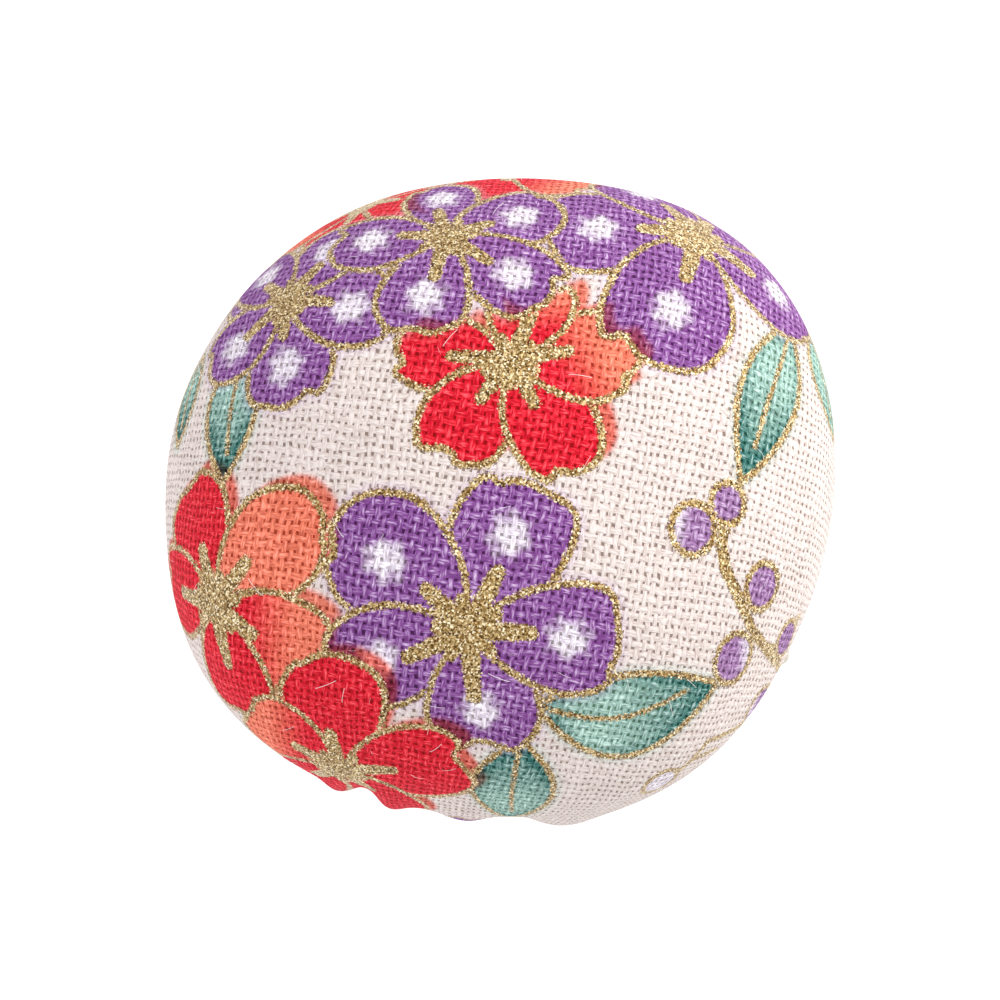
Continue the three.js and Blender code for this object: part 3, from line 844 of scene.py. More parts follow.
# Sizes of each kind: length, height and radius, then unevenness and twist in degrees.
SEAM_STITCH, TACK_STITCH = (1.75, 0.26, 0.17, 0.06, 3), (1.9, 0.3, 0.19, 0.08, 9)
LOOP_SIZES, HOOK_SIZES = (0.45, 0.8, 0.055, 0.3, 180), (0.5, 0.72, 0.1, 0.08, 12)
WOOL_SIZES, LINT_SIZES = (1.1, 0.28, 0.035, 0.5, 180), (1.3, 0.3, 0.015, 0.75, 180)


def new_thread_tree(name):
    """An empty node tree with its named inputs, as (tree, the sockets that give them)."""
    tree = bpy.data.node_groups.new(name, "GeometryNodeTree")
    tree.interface.new_socket("Points", in_out="INPUT", socket_type="NodeSocketGeometry")
    for label in ("Length", "Height", "Thread radius", "Unevenness", "Twist"):
        tree.interface.new_socket(label, in_out="INPUT", socket_type="NodeSocketFloat")
    tree.interface.new_socket("Threads", in_out="OUTPUT", socket_type="NodeSocketGeometry")
    return tree, add_node(tree, "NodeGroupInput").outputs


def bent_thread(tree, given, bend, sides, steps):
    """One round thread, swept along a curve through the four points of its bend."""
    calc = Shades(tree).calc
    ends = []
    for along, up in bend:
        place_at = {0: calc("MULTIPLY", given["Length"], along), 2: calc("MULTIPLY", given["Height"], up)}
        ends.append(add_node(tree, "ShaderNodeCombineXYZ", place_at).outputs[0])
    inputs = dict(zip(("Start", "Start Handle", "End Handle", "End"), ends))
    inputs["Resolution"] = steps
    curve = add_node(tree, "GeometryNodeCurvePrimitiveBezierSegment", inputs).outputs[0]
    inputs = {"Resolution": sides, "Radius": given["Thread radius"]}
    section = add_node(tree, "GeometryNodeCurvePrimitiveCircle", inputs).outputs[0]
    inputs = {"Curve": curve, "Profile Curve": section, "Fill Caps": True}
    return add_node(tree, "GeometryNodeCurveToMesh", inputs).outputs[0]


def thread_turn(tree, given, seed):
    """The turn that stands a thread along its point's up, lays it along its lie and twists it at random."""
    up, lie = (add_node(tree, "GeometryNodeInputNamedAttribute", {"Name": name}, data_type="FLOAT_VECTOR")
               for name in ("up", "lie"))
    up, lie = up.outputs[0], lie.outputs[0]
    stood = add_node(tree, "FunctionNodeAlignRotationToVector", {"Vector": up}, axis="Z").outputs[0]
    inputs = {"Rotation": stood, "Vector": lie}
    laid = add_node(tree, "FunctionNodeAlignRotationToVector", inputs, axis="X", pivot_axis="Z").outputs[0]
    spread = add_node(tree, "FunctionNodeRandomValue", {2: -1.0, 3: 1.0, "Seed": seed}, data_type="FLOAT")
    twist = {2: Shades(tree).calc("MULTIPLY", spread.outputs[1], given["Twist"])}
    spin = add_node(tree, "ShaderNodeCombineXYZ", twist).outputs[0]
    spin = add_node(tree, "FunctionNodeEulerToRotation", {0: spin}).outputs[0]
    return add_node(tree, "FunctionNodeRotateRotation", {0: laid, 1: spin}, rotation_space="LOCAL").outputs[0]


def thread_tree(name, bend, sides, steps, seed, material):
    tree, given = new_thread_tree(name)
    uneven = add_node(tree, "FunctionNodeRandomValue", {2: -1.0, 3: 1.0, "Seed": seed + 1}, data_type="FLOAT")
    size = Shades(tree).calc("MULTIPLY_ADD", uneven.outputs[1], given["Unevenness"], 1.0)
    inputs = {"Points": given["Points"], "Instance": bent_thread(tree, given, bend, sides, steps),
              "Rotation": thread_turn(tree, given, seed), "Scale": size}
    placed = add_node(tree, "GeometryNodeInstanceOnPoints", inputs)
    real = add_node(tree, "GeometryNodeRealizeInstances", {0: placed.outputs[0]})
    finish = add_node(tree, "GeometryNodeSetMaterial", {"Geometry": real.outputs[0], "Material": material})
    add_node(tree, "NodeGroupOutput", {"Threads": finish.outputs[0]})
    return tree


def threads_on(name, stations, bend, sizes, material, seed, sides=5, steps=7):
    """Threads on (point, up, lie) stations. sizes: length, height, radius, unevenness, twist in degrees."""
    points, up, lie = (np.array(column, float) for column in zip(*stations))
    carrier = mesh_object(name + "_carrier", points, [])
    for label, values in (("up", up), ("lie", lie)):
        attribute = carrier.data.attributes.new(label, "FLOAT_VECTOR", "POINT")
        attribute.data.foreach_set("vector", values.ravel())
    tree = thread_tree(name + "_tree", bend, sides, steps, seed, material)
    modifier = carrier.modifiers.new("threads", "NODES")
    modifier.node_group = tree
    length, height, radius, unevenness, twist = sizes
    values = {"Length": length * MM, "Height": height * MM, "Thread radius": radius * MM,
              "Unevenness": unevenness, "Twist": math.radians(twist)}
    for socket in tree.interface.items_tree:
        if socket.in_out == "INPUT" and socket.name in values:
            modifier[socket.identifier] = values[socket.name]
    return solid_copy(carrier, name)


def solid_copy(source, name):
    """A plain mesh of an object with its modifiers worked in. The source goes."""
    graph = bpy.context.evaluated_depsgraph_get()
    graph.update()
    mesh = bpy.data.meshes.new_from_object(source.evaluated_get(graph), depsgraph=graph)
    mesh.name = name
    bpy.data.objects.remove(source)
    mesh.polygons.foreach_set("use_smooth", [True] * len(mesh.polygons))
    return place(bpy.data.objects.new(name, mesh))


def finish_piece(piece, body, stands_for=(), material=None):
    """Gives a piece its material, the nodes that it takes the place of and its body."""
    if material is not None:
        piece.data.materials.clear()
        piece.data.materials.append(material)
    if stands_for:
        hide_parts(*stands_for)
    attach(piece, body)
    return piece


def outward(points, faces):
    """The faces of a closed shape, turned so that they face out."""
    points = np.asarray(points, float)
    volume = 0.0
    for face in faces:
        for second, third in zip(face[1:-1], face[2:]):
            volume += np.dot(points[face[0]], np.cross(points[second], points[third]))
    return [tuple(face) if volume > 0 else tuple(reversed(face)) for face in faces]


def lathe(profile, sectors, axis="Z"):
    """A closed solid turned from (radius, height) points that start and end on the axis."""
    profile = np.array(profile, float)
    around = np.linspace(0, 2 * math.pi, sectors, endpoint=False)
    rings = [np.stack([r * np.cos(around), r * np.sin(around), np.full(sectors, z)], axis=1)
             for r, z in profile[1:-1]]
    points = np.concatenate([[[0, 0, profile[0][1]]], *rings, [[0, 0, profile[-1][1]]]])
    if axis == "Y":
        points = points[:, [0, 2, 1]]
    return points, outward(points, capped_faces(len(rings), sectors))


# ---------------------------------------------------------------------------------------------------------
# The strap: two halves of elastic webbing, each folded round its pin, bar tacked, and closing on a patch
# ---------------------------------------------------------------------------------------------------------

PIN_X, PIN_Z, PIN_RADIUS = 25.0, 6.0, 1.0
WEB_WIDTH, WEB_HALF = 18.0, 0.6  # half of the webbing's thickness, between the ribs
LOOP_HALF_WIDTH, LOOP_HALF_DEPTH, LOOP_MIDDLE_Z = 28.5, 24.0, -13.0
WRAP_RADIUS = 1.95  # middle of the webbing about its pin
FOLD_CLOSES, FOLD_ENDS, FOLD_OFFSET = 6.0, 12.8, 1.3
PROUD_FROM, STRAPS_APART = 37, 4.3
HOOK_END, LOOP_END = -99, -139  # where each half ends, in degrees about the wrist
RIB_PITCH, RIB_HEIGHT = 1.2, 0.1
SELVEDGE, RIB_SINK = 0.55, 0.05  # width of the rounder edge, and how deep the ribs sit in the webbing
TAPE_NEAR, TAPE_FAR, TAPE_WIDTH = 0.72, 1.35, 16.0  # from the webbing's middle line to the tape's two faces
TAPE_EDGE, TAPE_DROP = 0.12, 0.15  # the tape's edge is eased this far in and this far down
HOOK_LENGTH, LOOP_LENGTH, TAPE_TO_END, SEAM_MARGIN = 22.0, 27.0, 1.5, 1.2
TACK_FROM, TACK_LENGTH, TACK_WIDTH, TACK_STITCHES = 9.5, 1.8, 15.0, 38
SEAM_PITCH = 2.1  # from stitch to stitch
PILE_INSET, PILE_JITTER = SEAM_MARGIN + 0.9, 0.1  # how far in its pile starts, and how far out of line


class StrapLine:
    """The middle line of one strap half, from its pin round the wrist."""

    def __init__(self, end_degrees, proud_at_end, side):
        self.side = side
        # The webbing runs straight from the pin to where it meets the wrist's oval at a tangent.
        rise, run = (PIN_Z - LOOP_MIDDLE_Z) / LOOP_HALF_DEPTH, PIN_X / LOOP_HALF_WIDTH
        join = math.atan2(rise, run) - math.acos(1 / math.hypot(rise, run))
        angle = np.linspace(join, math.radians(end_degrees), 240)
        proud = proud_at_end * ease(-join, math.radians(PROUD_FROM), -angle)
        across = np.stack([np.cos(angle) / LOOP_HALF_WIDTH, np.sin(angle) / LOOP_HALF_DEPTH], axis=1)
        across /= np.hypot(*across.T)[:, None]
        curve = [LOOP_HALF_WIDTH * np.cos(angle), LOOP_MIDDLE_Z + LOOP_HALF_DEPTH * np.sin(angle)]
        curve = np.stack(curve, axis=1) + across * proud[:, None]
        start = np.array([PIN_X, PIN_Z])
        straight = start + (curve[0] - start) * np.linspace(0, 1, 30, endpoint=False)[:, None]
        self.points = np.concatenate([straight, curve])
        along = np.gradient(self.points, axis=0)
        along /= np.hypot(*along.T)[:, None]
        self.normals = np.stack([-along[:, 1], along[:, 0]], axis=1)
        steps = np.hypot(*np.diff(self.points, axis=0).T)
        self.distance = np.concatenate([[0], np.cumsum(steps)])
        self.length = self.distance[-1]

    def at(self, distance, offset):
        """Points (x, z) on the +X side, off the middle line by offset, and their normals."""
        point = np.stack([np.interp(distance, self.distance, self.points[:, k]) for k in (0, 1)], axis=-1)
        normal = np.stack([np.interp(distance, self.distance, self.normals[:, k]) for k in (0, 1)], axis=-1)
        normal /= np.hypot(normal[..., 0], normal[..., 1])[..., None]
        return point + normal * np.asarray(offset)[..., None], normal

    def station(self, distance, across, offset, facing=1, crosswise=False):
        """A (point, up, lie) station for a thread on the strap, lying lengthwise unless crosswise is set."""
        (x, z), (nx, nz) = self.at(distance, offset)
        lie = (0, 1, 0) if crosswise else (self.side * nz, 0, -nx)
        return (self.side * x, across, z), (facing * self.side * nx, 0, facing * nz), lie


def loft(middles, normals, section, side):
    """A strip along a line of (x, z). section is a closed line of (off, across), its first half the top."""
    rings, sectors = len(middles), len(section)
    off, across = section[:, 0], section[:, 1]
    points = np.empty((rings, sectors, 3))
    points[:, :, 0] = side * (middles[:, None, 0] + normals[:, None, 0] * off)
    points[:, :, 1] = across
    points[:, :, 2] = middles[:, None, 1] + normals[:, None, 1] * off
    points = points.reshape(-1, 3)
    faces = grid_faces(rings, sectors).tolist()
    for start, flip in ((0, False), ((rings - 1) * sectors, True)):
        for k in range(sectors // 2 - 1):
            cap = (start + k, start + k + 1, start + sectors - 2 - k, start + sectors - 1 - k)
            faces.append(cap[::-1] if flip else cap)
    return points, outward(points, faces)


def webbing_section():
    """Ribs run lengthwise on both faces, and each edge is a rounder selvedge."""
    across = np.linspace(-WEB_WIDTH / 2, WEB_WIDTH / 2, 91)
    rib = RIB_HEIGHT * np.sqrt(np.abs(np.sin(math.pi * across / RIB_PITCH)))
    edge = np.clip((WEB_WIDTH / 2 - np.abs(across)) / SELVEDGE, 0, 1)
    top = (WEB_HALF - RIB_SINK + rib) * np.sqrt(np.clip(1 - (1 - edge) ** 2, 0.02, 1))
    return np.concatenate([np.stack([top, across], axis=1), np.stack([-top, across], axis=1)[::-1]])


def make_webbing(name, line):
    """The webbing from its cut end, up to the pin, over it, and down to its free end."""
    tail = np.arange(FOLD_ENDS, 0, -0.35)
    inner = -(WRAP_RADIUS + (FOLD_OFFSET - WRAP_RADIUS) * np.clip(tail / FOLD_CLOSES, 0, 1))
    heading = math.atan2(line.normals[0][1], line.normals[0][0])
    turn = np.linspace(heading + math.pi, heading, 20)
    reach = np.stack([np.cos(turn), np.sin(turn)], axis=1)
    main = np.arange(0.35, line.length + 0.01, 0.4)
    outer = WRAP_RADIUS * (1 - np.clip(main / FOLD_CLOSES, 0, 1))
    over_pin = np.array([PIN_X, PIN_Z]) + WRAP_RADIUS * reach
    middles = np.concatenate([line.at(tail, inner)[0], over_pin, line.at(main, outer)[0]])
    heading_of = np.gradient(middles, axis=0)
    heading_of /= np.hypot(*heading_of.T)[:, None]
    normals = np.stack([-heading_of[:, 1], heading_of[:, 0]], axis=1)
    section = webbing_section()
    webbing = mesh_object(name, *loft(middles, normals, section, line.side))
    run = np.concatenate([[0], np.cumsum(np.hypot(*np.diff(middles, axis=0).T))])
    across = np.tile(section[:, 1], len(middles))
    store_values(webbing, along_mm=np.repeat(run, len(section)), across_mm=across)
    return webbing


def make_tape(name, line, span, facing):
    """The woven backing of a hook or loop patch."""
    distance = np.linspace(*span, 60)
    middles, normals = line.at(distance, np.zeros_like(distance))
    half = TAPE_WIDTH / 2
    across = np.concatenate([[-half], np.linspace(-half + TAPE_EDGE, half - TAPE_EDGE, 20), [half]])
    drop = np.where(np.abs(across) == half, TAPE_DROP, 0.0)
    far = np.stack([facing * (TAPE_FAR - drop), across], axis=1)
    near = np.stack([facing * (TAPE_NEAR + drop), across], axis=1)[::-1]
    return mesh_object(name, *loft(middles, normals, np.concatenate([far, near]), line.side))


def seam_stations(line, span, offset, facing):
    """Stitches round a patch, SEAM_MARGIN in from its edge."""
    low, high, half = span[0] + SEAM_MARGIN, span[1] - SEAM_MARGIN, TAPE_WIDTH / 2 - SEAM_MARGIN
    lengthwise = int(round((high - low) / SEAM_PITCH))
    stations = []
    for side in (-1, 1):
        for k in range(lengthwise):
            distance = low + (k + 0.5) * (high - low) / lengthwise
            stations.append(line.station(distance, side * half, offset, facing))
    crosswise = int(round(2 * half / SEAM_PITCH))
    for end in (low, high):
        for k in range(crosswise):
            across = -half + (k + 0.5) * 2 * half / crosswise
            stations.append(line.station(end, across, offset, facing, True))
    return stations


def tack_stations(line, offset, facing):
    """Close stitches side by side across the strap."""
    across = [(k + 0.5) / TACK_STITCHES * TACK_WIDTH - TACK_WIDTH / 2 for k in range(TACK_STITCHES)]
    return [line.station(TACK_FROM + TACK_LENGTH / 2, y, offset, facing) for y in across]


def pile_stations(line, span, pitch, facing, seed):
    """Points over a patch inside its seam, a little out of line."""
    rng = random.Random(seed)
    length, width = span[1] - span[0] - 2 * PILE_INSET, TAPE_WIDTH - 2 * PILE_INSET
    rows, columns = int(length / pitch), int(width / pitch)
    stations = []
    for row in range(rows + 1):
        for column in range(columns + 1):
            distance = span[0] + PILE_INSET + length * row / rows + rng.uniform(-PILE_JITTER, PILE_JITTER)
            across = width * (column / columns - 0.5) + rng.uniform(-PILE_JITTER, PILE_JITTER)
            stations.append(line.station(distance, across, facing * TAPE_FAR, facing))
    return stations


def joined(name, *parts):
    """Several pieces of one material as one."""
    keep = parts[0]
    with bpy.context.temp_override(active_object=keep, object=keep, selected_editable_objects=list(parts)):
        bpy.ops.object.join()
    keep.name = name
    return keep


# Woven elastic: polyester yarn in lengthwise ribs over rubber cores, tied by picks that lie in a V across
# each rib. The picks are drawn about a millimetre apart, so that they show.
PICK_PITCH = 0.95


def elastic_webbing():
    material, tree, shader = new_material("woven_elastic")
    shades = Shades(tree)
    calc = shades.calc
    along, across = shades.stored("along_mm"), shades.stored("across_mm")
    rib = calc("ABSOLUTE", calc("SINE", calc("MULTIPLY", across, math.pi / RIB_PITCH)))
    pick = calc("ADD", calc("MULTIPLY", along, 2 * math.pi / PICK_PITCH), calc("MULTIPLY", rib, 2.4))
    pick = calc("MULTIPLY_ADD", calc("SINE", pick), 0.5, 0.5)
    place_of = shades.on_object()
    yarn = calc("MULTIPLY", shades.noise(place_of, 2600.0, 3.0), 0.5)
    height = calc("ADD", calc("MULTIPLY", pick, rib), yarn)
    inputs = {0: calc("ABSOLUTE", across), 1: WEB_WIDTH / 2 - 1, 2: WEB_WIDTH / 2}
    edge = add_node(tree, "ShaderNodeMapRange", inputs).outputs[0]
    soil = calc("MULTIPLY", calc("ADD", shades.noise(place_of, 70.0, 3.0), calc("MULTIPLY", edge, 0.35)), 0.6)
    # Painted shade and highlight: the yarn is painted darker in the hollows between ribs and picks and
    # lighter on their tops.
    yarn_with_painted_shade = shades.ramp(height, (0.1, "#a89f8f"), (0.55, "#d4cbba"), (1.1, "#ece6d9"))
    tree.links.new(shades.blend(soil, yarn_with_painted_shade, linear("#d9d0c2"), "MULTIPLY"), shader.inputs["Base Color"])
    shader.inputs["Roughness"].default_value = 0.72
    shader.inputs["Sheen Weight"].default_value = 0.15
    shades.raise_surface(shader, height, 0.12)
    return material


def speckled(name, dark, light, grain, relief, roughness, metallic=0.0, sheen=0.0, stretch=(1, 1, 1)):
    """A finish of one stuff whose grain, in millimetres, shows as small changes of tone and height."""
    material, tree, shader = new_material(name)
    shades = Shades(tree)
    place_of = shades.on_object()
    fine = shades.noise(shades.stretched(place_of, stretch), 1 / (grain * MM), 5.0)
    broad = shades.noise(place_of, 0.12 / (grain * MM))
    tone = shades.calc("MULTIPLY_ADD", broad, 0.5, fine)
    tree.links.new(shades.ramp(tone, (0.5, dark), (0.95, light)), shader.inputs["Base Color"])
    shader.inputs["Roughness"].default_value = roughness
    shader.inputs["Metallic"].default_value = metallic
    shader.inputs["Sheen Weight"].default_value = sheen
    shades.raise_surface(shader, fine, relief)
    return material


def spun_thread(name):
    """Spun polyester sewing thread: matt, with a little twist to be seen."""
    return speckled(name, "#cfc4ae", "#f7f1e4", 0.18, 0.05, 0.65, sheen=0.1)


def make_strap(side, line, span, facing, names, body, finishes):
    """One strap half: its webbing, patch, seam and bar tack. facing is the face that the patch is on."""
    strap, patch, seam, tack = names
    webbing_finish, tape_finish, thread_finish, pile = finishes
    finish_piece(make_webbing("elastic_" + strap, line), body, [strap], webbing_finish)
    tape = make_tape(patch + "_tape", line, span, facing)
    tape.data.materials.append(tape_finish)
    bend, sizes, pitch = pile
    pile_at = pile_stations(line, span, pitch, facing, SEED + side)
    nap = threads_on(patch + "_nap", pile_at, bend, sizes, tape_finish, SEED, 4, 7)
    finish_piece(joined(patch + "_with_nap", tape, nap), body, [patch])
    stitches = seam_stations(line, span, -facing * (WEB_HALF + 0.1), -facing)
    stitches += seam_stations(line, span, facing * TAPE_FAR, facing)
    row = threads_on(patch + "_stitches", stitches, STITCH, SEAM_STITCH, thread_finish, SEED + 2)
    finish_piece(row, body, [seam])
    bars = tack_stations(line, WEB_HALF + 0.08, 1)
    bars += tack_stations(line, -(FOLD_OFFSET + WEB_HALF + 0.08), -1)
    bar = threads_on(strap + "_tack_stitches", bars, STITCH, TACK_STITCH, thread_finish, SEED + 3)
    finish_piece(bar, body, [tack])


def make_straps():
    """Both halves. The loop strap ends further round and lies inside, with its patch facing out."""
    webbing = elastic_webbing()
    thread = spun_thread("sewing_thread")
    # Nylon loop tape: a woven back with soft loops brushed up.
    loop_tape = speckled("nylon_loop_tape", "#c9c1b2", "#f2ecdf", 0.25, 0.08, 0.8, sheen=0.3)
    # Nylon hook tape: the hooks are cut monofilament, a little glossy.
    hook_tape = speckled("nylon_hook_tape", "#c4bcab", "#ece5d6", 0.3, 0.05, 0.45)
    loop_line = StrapLine(LOOP_END, 0.0, -1)
    hook_line = StrapLine(HOOK_END, STRAPS_APART, 1)
    loop_to = loop_line.length - TAPE_TO_END
    hook_to = hook_line.length - TAPE_TO_END
    make_strap(-1, loop_line, (loop_to - LOOP_LENGTH, loop_to), 1,
               ("loop_strap", "loop_patch", "loop_patch_stitching", "loop_strap_bar_tack"), "loop_strap_body",
               (webbing, loop_tape, thread, (PILE_LOOP, LOOP_SIZES, 0.8)))
    make_strap(1, hook_line, (hook_to - HOOK_LENGTH, hook_to), -1,
               ("hook_strap", "hook_patch", "hook_patch_stitching", "hook_strap_bar_tack"), "hook_strap_body",
               (webbing, hook_tape, thread, (PILE_HOOK, HOOK_SIZES, 1.25)))


# ---------------------------------------------------------------------------------------------------------
# The base: felt pad, moulded dish and steel pins, and what is inside the ball
# ---------------------------------------------------------------------------------------------------------

DISH_LOW, DISH_FLOOR = 2.7, 4.1
LUG_RADIUS, LUG_THICK, LUG_Y, LUG_ROOT = 2.9, 2.6, 11.0, 14.5
BEVEL, BEVEL_FROM, SHARP_FROM = 0.22, 40, 35  # width, and the angles that count as an edge and as a sharp one
HOLE_RADIUS, PIN_LENGTH = 1.15, 25.0
FELT_RADIUS, FELT_THICK = 19.5, 2.4
EDGE_FIBRES, UNDER_FIBRES = 500, 800
WADDING_INSET = 1.4  # how far inside the cover's outside the stuffing stays
LINT_FIBRES = 420


def combined(base, other, operation):
    """base with another solid added to it or cut out of it. The other goes."""
    modifier = base.modifiers.new(operation, "BOOLEAN")
    modifier.object = other
    modifier.operation = operation
    modifier.solver = "EXACT"
    made = solid_copy(base, base.name)
    bpy.data.objects.remove(other)
    return made


def lug_solid(side, middle_y):
    """An eye round the pin with an arm back to the dish, as one outline given its thickness."""
    turn = np.linspace(math.pi / 2, -math.pi / 2, 33)
    eye = np.stack([PIN_X + LUG_RADIUS * np.cos(turn), PIN_Z + LUG_RADIUS * np.sin(turn)], axis=1)
    outline = np.concatenate([[[LUG_ROOT, PIN_Z + LUG_RADIUS]], eye, [[LUG_ROOT, PIN_Z - LUG_RADIUS]]])
    count = len(outline)
    ends = [np.stack([side * outline[:, 0], np.full(count, middle_y + half), outline[:, 1]], axis=1)
            for half in (-LUG_THICK / 2, LUG_THICK / 2)]
    points = np.concatenate(ends)
    faces = [tuple(range(count)), tuple(range(2 * count - 1, count - 1, -1))]
    faces += [(k, count + k, count + (k + 1) % count, (k + 1) % count) for k in range(count)]
    return mesh_object("lug", points, outward(points, faces))


def make_dish():
    """A shallow dish moulded in one with four pin lugs, all its edges eased."""
    seat = [(11.5, DISH_FLOOR), (14.2, 4.95), (16.6, 6.2), (18.7, 7.35), (20.6, 8.8)]
    under = [(0, DISH_LOW), (12.1, DISH_LOW), (14.8, 3.25), (17.2, 4.2), (19.8, 6.1)]
    lip = [(22.0, 8.4), (21.9, 8.9), (21.5, 9.2), (20.9, 9.1)]
    bowl = under + lip + seat[::-1] + [(0, DISH_FLOOR)]
    hollow = [(0, DISH_FLOOR)] + seat + [(21.6, 15.2), (0, 15.2)]
    dish = mesh_object("moulded_dish", *lathe(bowl, 96))
    for side in (-1, 1):
        for end in (-1, 1):
            dish = combined(dish, lug_solid(side, end * LUG_Y), "UNION")
    dish = combined(dish, mesh_object("hollow", *lathe(hollow, 96)), "DIFFERENCE")
    half = PIN_LENGTH / 2 + 2
    for side in (-1, 1):
        bore = [(0, -half), (HOLE_RADIUS, -half), (HOLE_RADIUS, half), (0, half)]
        points, faces = lathe(bore, 40, "Y")
        points = points + np.array([side * PIN_X, 0, PIN_Z])
        dish = combined(dish, mesh_object("hole", points, faces), "DIFFERENCE")
    bevel = dish.modifiers.new("eased_edges", "BEVEL")
    bevel.width = BEVEL * MM
    bevel.segments = 2
    bevel.limit_method = "ANGLE"
    bevel.angle_limit = math.radians(BEVEL_FROM)
    dish = solid_copy(dish, "moulded_dish")
    dish.data.set_sharp_from_angle(angle=math.radians(SHARP_FROM))
    return dish


def make_pin(side, name):
    """A length of wire with its cut ends eased."""
    half, radius, eased = PIN_LENGTH / 2, PIN_RADIUS, 0.25
    end = [(0, half), (radius - eased, half), (radius - 0.07, half - 0.07), (radius, half - eased)]
    middle = [(radius, y) for y in np.linspace(-half + 0.6, half - 0.6, 12)]
    points, faces = lathe([(r, -y) for r, y in end] + middle + end[::-1], 40, "Y")
    return mesh_object(name, points + np.array([side * PIN_X, 0, PIN_Z]), faces)


def make_felt():
    """The wrist pad: a disc cut from thick felt, its cut edge a little soft and its faces not quite flat."""
    low, high, radius = 0.1, FELT_THICK - 0.1, FELT_RADIUS
    flat = np.linspace(1.5, radius - 0.7, 14)
    cut = [(radius - 0.45, 0.18), (radius - 0.15, 0.5), (radius, 1.2), (radius - 0.15, 1.9),
           (radius - 0.45, 2.2)]
    under, top = [(r, low) for r in flat], [(r, high) for r in flat[::-1]]
    points, faces = lathe([(0, low)] + under + cut + top + [(0, high)], 160)
    angle, reach = np.arctan2(points[:, 1], points[:, 0]), np.hypot(points[:, 0], points[:, 1])
    edge = 0.1 * np.sin(23 * angle + 1) * np.sin(7 * angle) * (reach > radius - 0.8)
    points[:, 0] += edge * np.cos(angle)
    points[:, 1] += edge * np.sin(angle)
    points[:, 2] += 0.07 * np.sin(points[:, 0] * 0.9) * np.sin(points[:, 1] * 0.8 + 0.5)
    return mesh_object("felt_wrist_pad", points, faces)


def felt_fibres(finish):
    """Wool fibres that stand off the felt, first round its cut edge and then over its underside."""
    rng = random.Random(SEED + 5)
    stations = []
    for number in range(EDGE_FIBRES + UNDER_FIBRES):
        angle = rng.uniform(0, 2 * math.pi)
        out_x, out_y = math.cos(angle), math.sin(angle)
        lie = (math.cos(angle + 1.9), math.sin(angle + 1.9), 0)
        if number < EDGE_FIBRES:
            radius = FELT_RADIUS - 0.05
            at = (radius * out_x, radius * out_y, rng.uniform(0.4, 2.0))
            stations.append((at, (out_x, out_y, rng.uniform(-0.5, 0.3)), lie))
        else:
            radius = (FELT_RADIUS - 0.3) * math.sqrt(rng.random())
            stations.append(((radius * out_x, radius * out_y, 0.12), (0, 0, -1), lie))
    return threads_on("felt_fibres", stations, FIBRE, WOOL_SIZES, finish, SEED + 6, 3, 5)


def make_wadding():
    """The stuffing: the ball's own shape inside the cover, lumpy, and cut off flat on the guard disc."""
    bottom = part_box("wadding_core")[0].z / MM
    _, radius, height = cloth_profile()
    keep = np.nonzero(height > bottom)[0][::10][1:]
    sectors = 120
    around = np.linspace(0, 2 * math.pi, sectors, endpoint=False)

    def lumps(around, height):
        return WADDING_INSET + 0.18 * np.sin(9 * around + height) + 0.14 * np.sin(height * 1.7 + 4 * around)

    skin = skin_rings(around, radius[keep], height[keep], lumps)
    skin[:, 2] = np.maximum(skin[:, 2], bottom)
    points = np.concatenate([[[0, 0, height[0] - WADDING_INSET]], skin, [[0, 0, bottom]]])
    return mesh_object("wadding", points, outward(points, capped_faces(len(keep), sectors)))


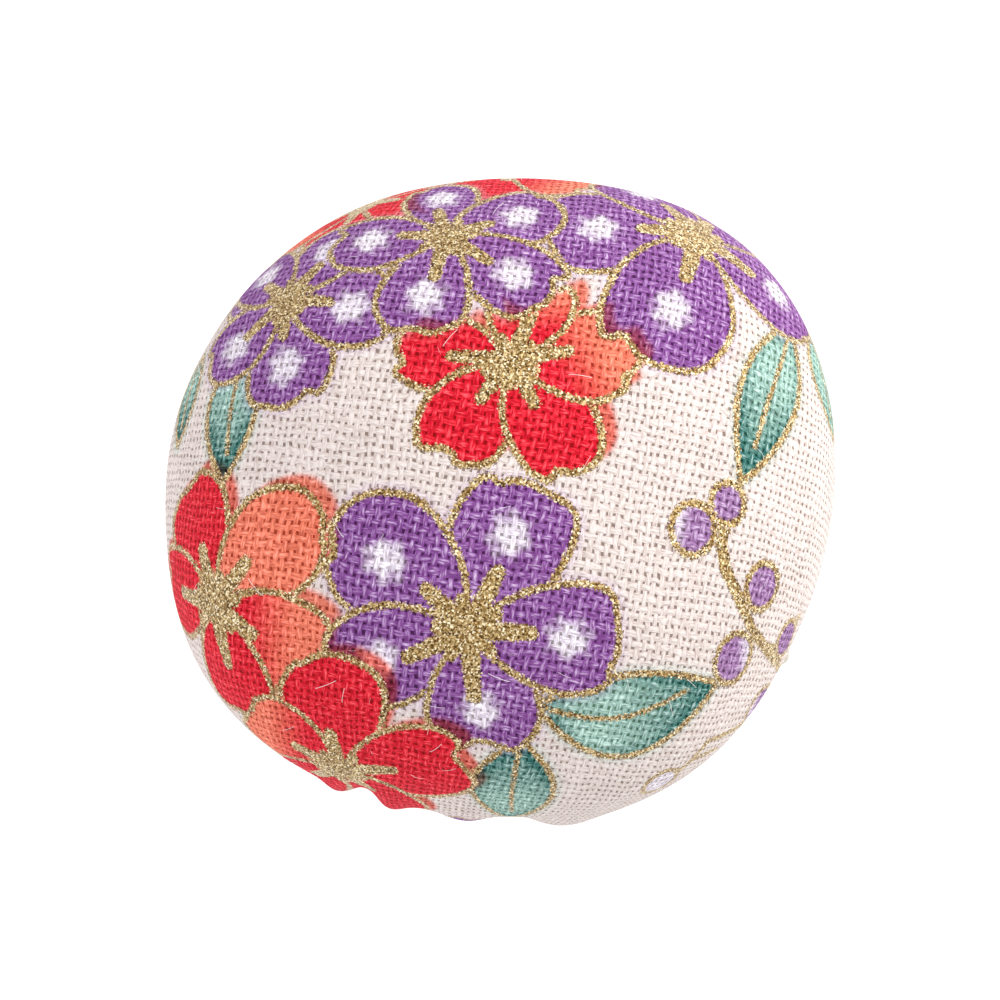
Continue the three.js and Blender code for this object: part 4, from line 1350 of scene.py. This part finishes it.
def cover_lint(finish):
    """Short stray fibres all over the cloth, each on the slope that the ball has there."""
    rng = random.Random(SEED + 8)
    along, radius, height = cloth_profile()
    stations = []
    for _ in range(LINT_FIBRES):
        travelled = along[-1] * 0.85 * math.sqrt(rng.random())
        angle = rng.uniform(0, 2 * math.pi)
        travels = np.array([travelled, travelled + 0.3, travelled])
        angles = np.array([angle, angle, angle + 0.01])
        near = ball_surface(angles, np.interp(travels, along, radius), np.interp(travels, along, height))
        down, beside = near[1] - near[0], near[2] - near[0]
        up = np.cross(down, beside)
        stations.append((near[0], up / (np.linalg.norm(up) + TINY), down / np.linalg.norm(down)))
    return threads_on("cover_lint", stations, FIBRE, LINT_SIZES, finish, SEED + 9, 3, 6)


def repaint(node, finish):
    """A CAD node whose shape is right keeps it, with a better finish."""
    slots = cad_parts[node].material_slots
    for index in range(len(slots)):
        slots[index].material = finish


def make_base():
    # Polypropylene from a satin-finished mould.
    plastic = speckled("moulded_polypropylene", "#e3ddd0", "#f6f2e9", 0.8, 0.02, 0.36)
    # Bright drawn wire: the drawing leaves fine lines along it.
    steel = speckled("drawn_steel_wire", "#8f9195", "#c9cbce", 0.25, 0.01, 0.27, 1.0, stretch=(1, 0.03, 1))
    # Needled wool felt: matted fibres with no weave.
    felt = speckled("wool_felt", "#a99c8c", "#e2d7c8", 0.5, 0.22, 0.95, sheen=0.35)
    # Polyester wadding: loose white fibre.
    wadding = speckled("polyester_wadding", "#d9d7d2", "#fbfaf7", 0.9, 0.3, 0.95, sheen=0.3)
    finish_piece(make_dish(), "cushion_body", ["base_dish"], plastic)
    finish_piece(make_pin(-1, "left_pin_of_wire"), "cushion_body", ["left_strap_pin"], steel)
    finish_piece(make_pin(1, "right_pin_of_wire"), "cushion_body", ["right_strap_pin"], steel)
    pad = finish_piece(make_felt(), "cushion_body", ["wrist_pad"], felt)
    finish_piece(felt_fibres(loose_fibre("wool_fibre", "#cdc1b1")), "cushion_body")
    stuffing = finish_piece(make_wadding(), "cushion_body", ["wadding_core"], wadding)
    # Hot-melt glue sets milky and a little waxy, and the guard disc is grey board.
    repaint("glue_pad", speckled("hot_melt_glue", "#ddd4b6", "#f1ebd3", 1.5, 0.1, 0.32))
    repaint("pin_guard_disc", speckled("grey_board", "#b9b4a8", "#dedad0", 0.4, 0.04, 0.8))
    # The gathering thread is doubled sewing thread.
    repaint("gathering_thread", spun_thread("gathering_thread"))


cover = make_cover()
finish_piece(cover, "cushion_body", ["printed_cover"], printed_cotton())
finish_piece(cover_lint(loose_fibre("cotton_lint", "#e9e0dc")), "cushion_body")
make_straps()
make_base()
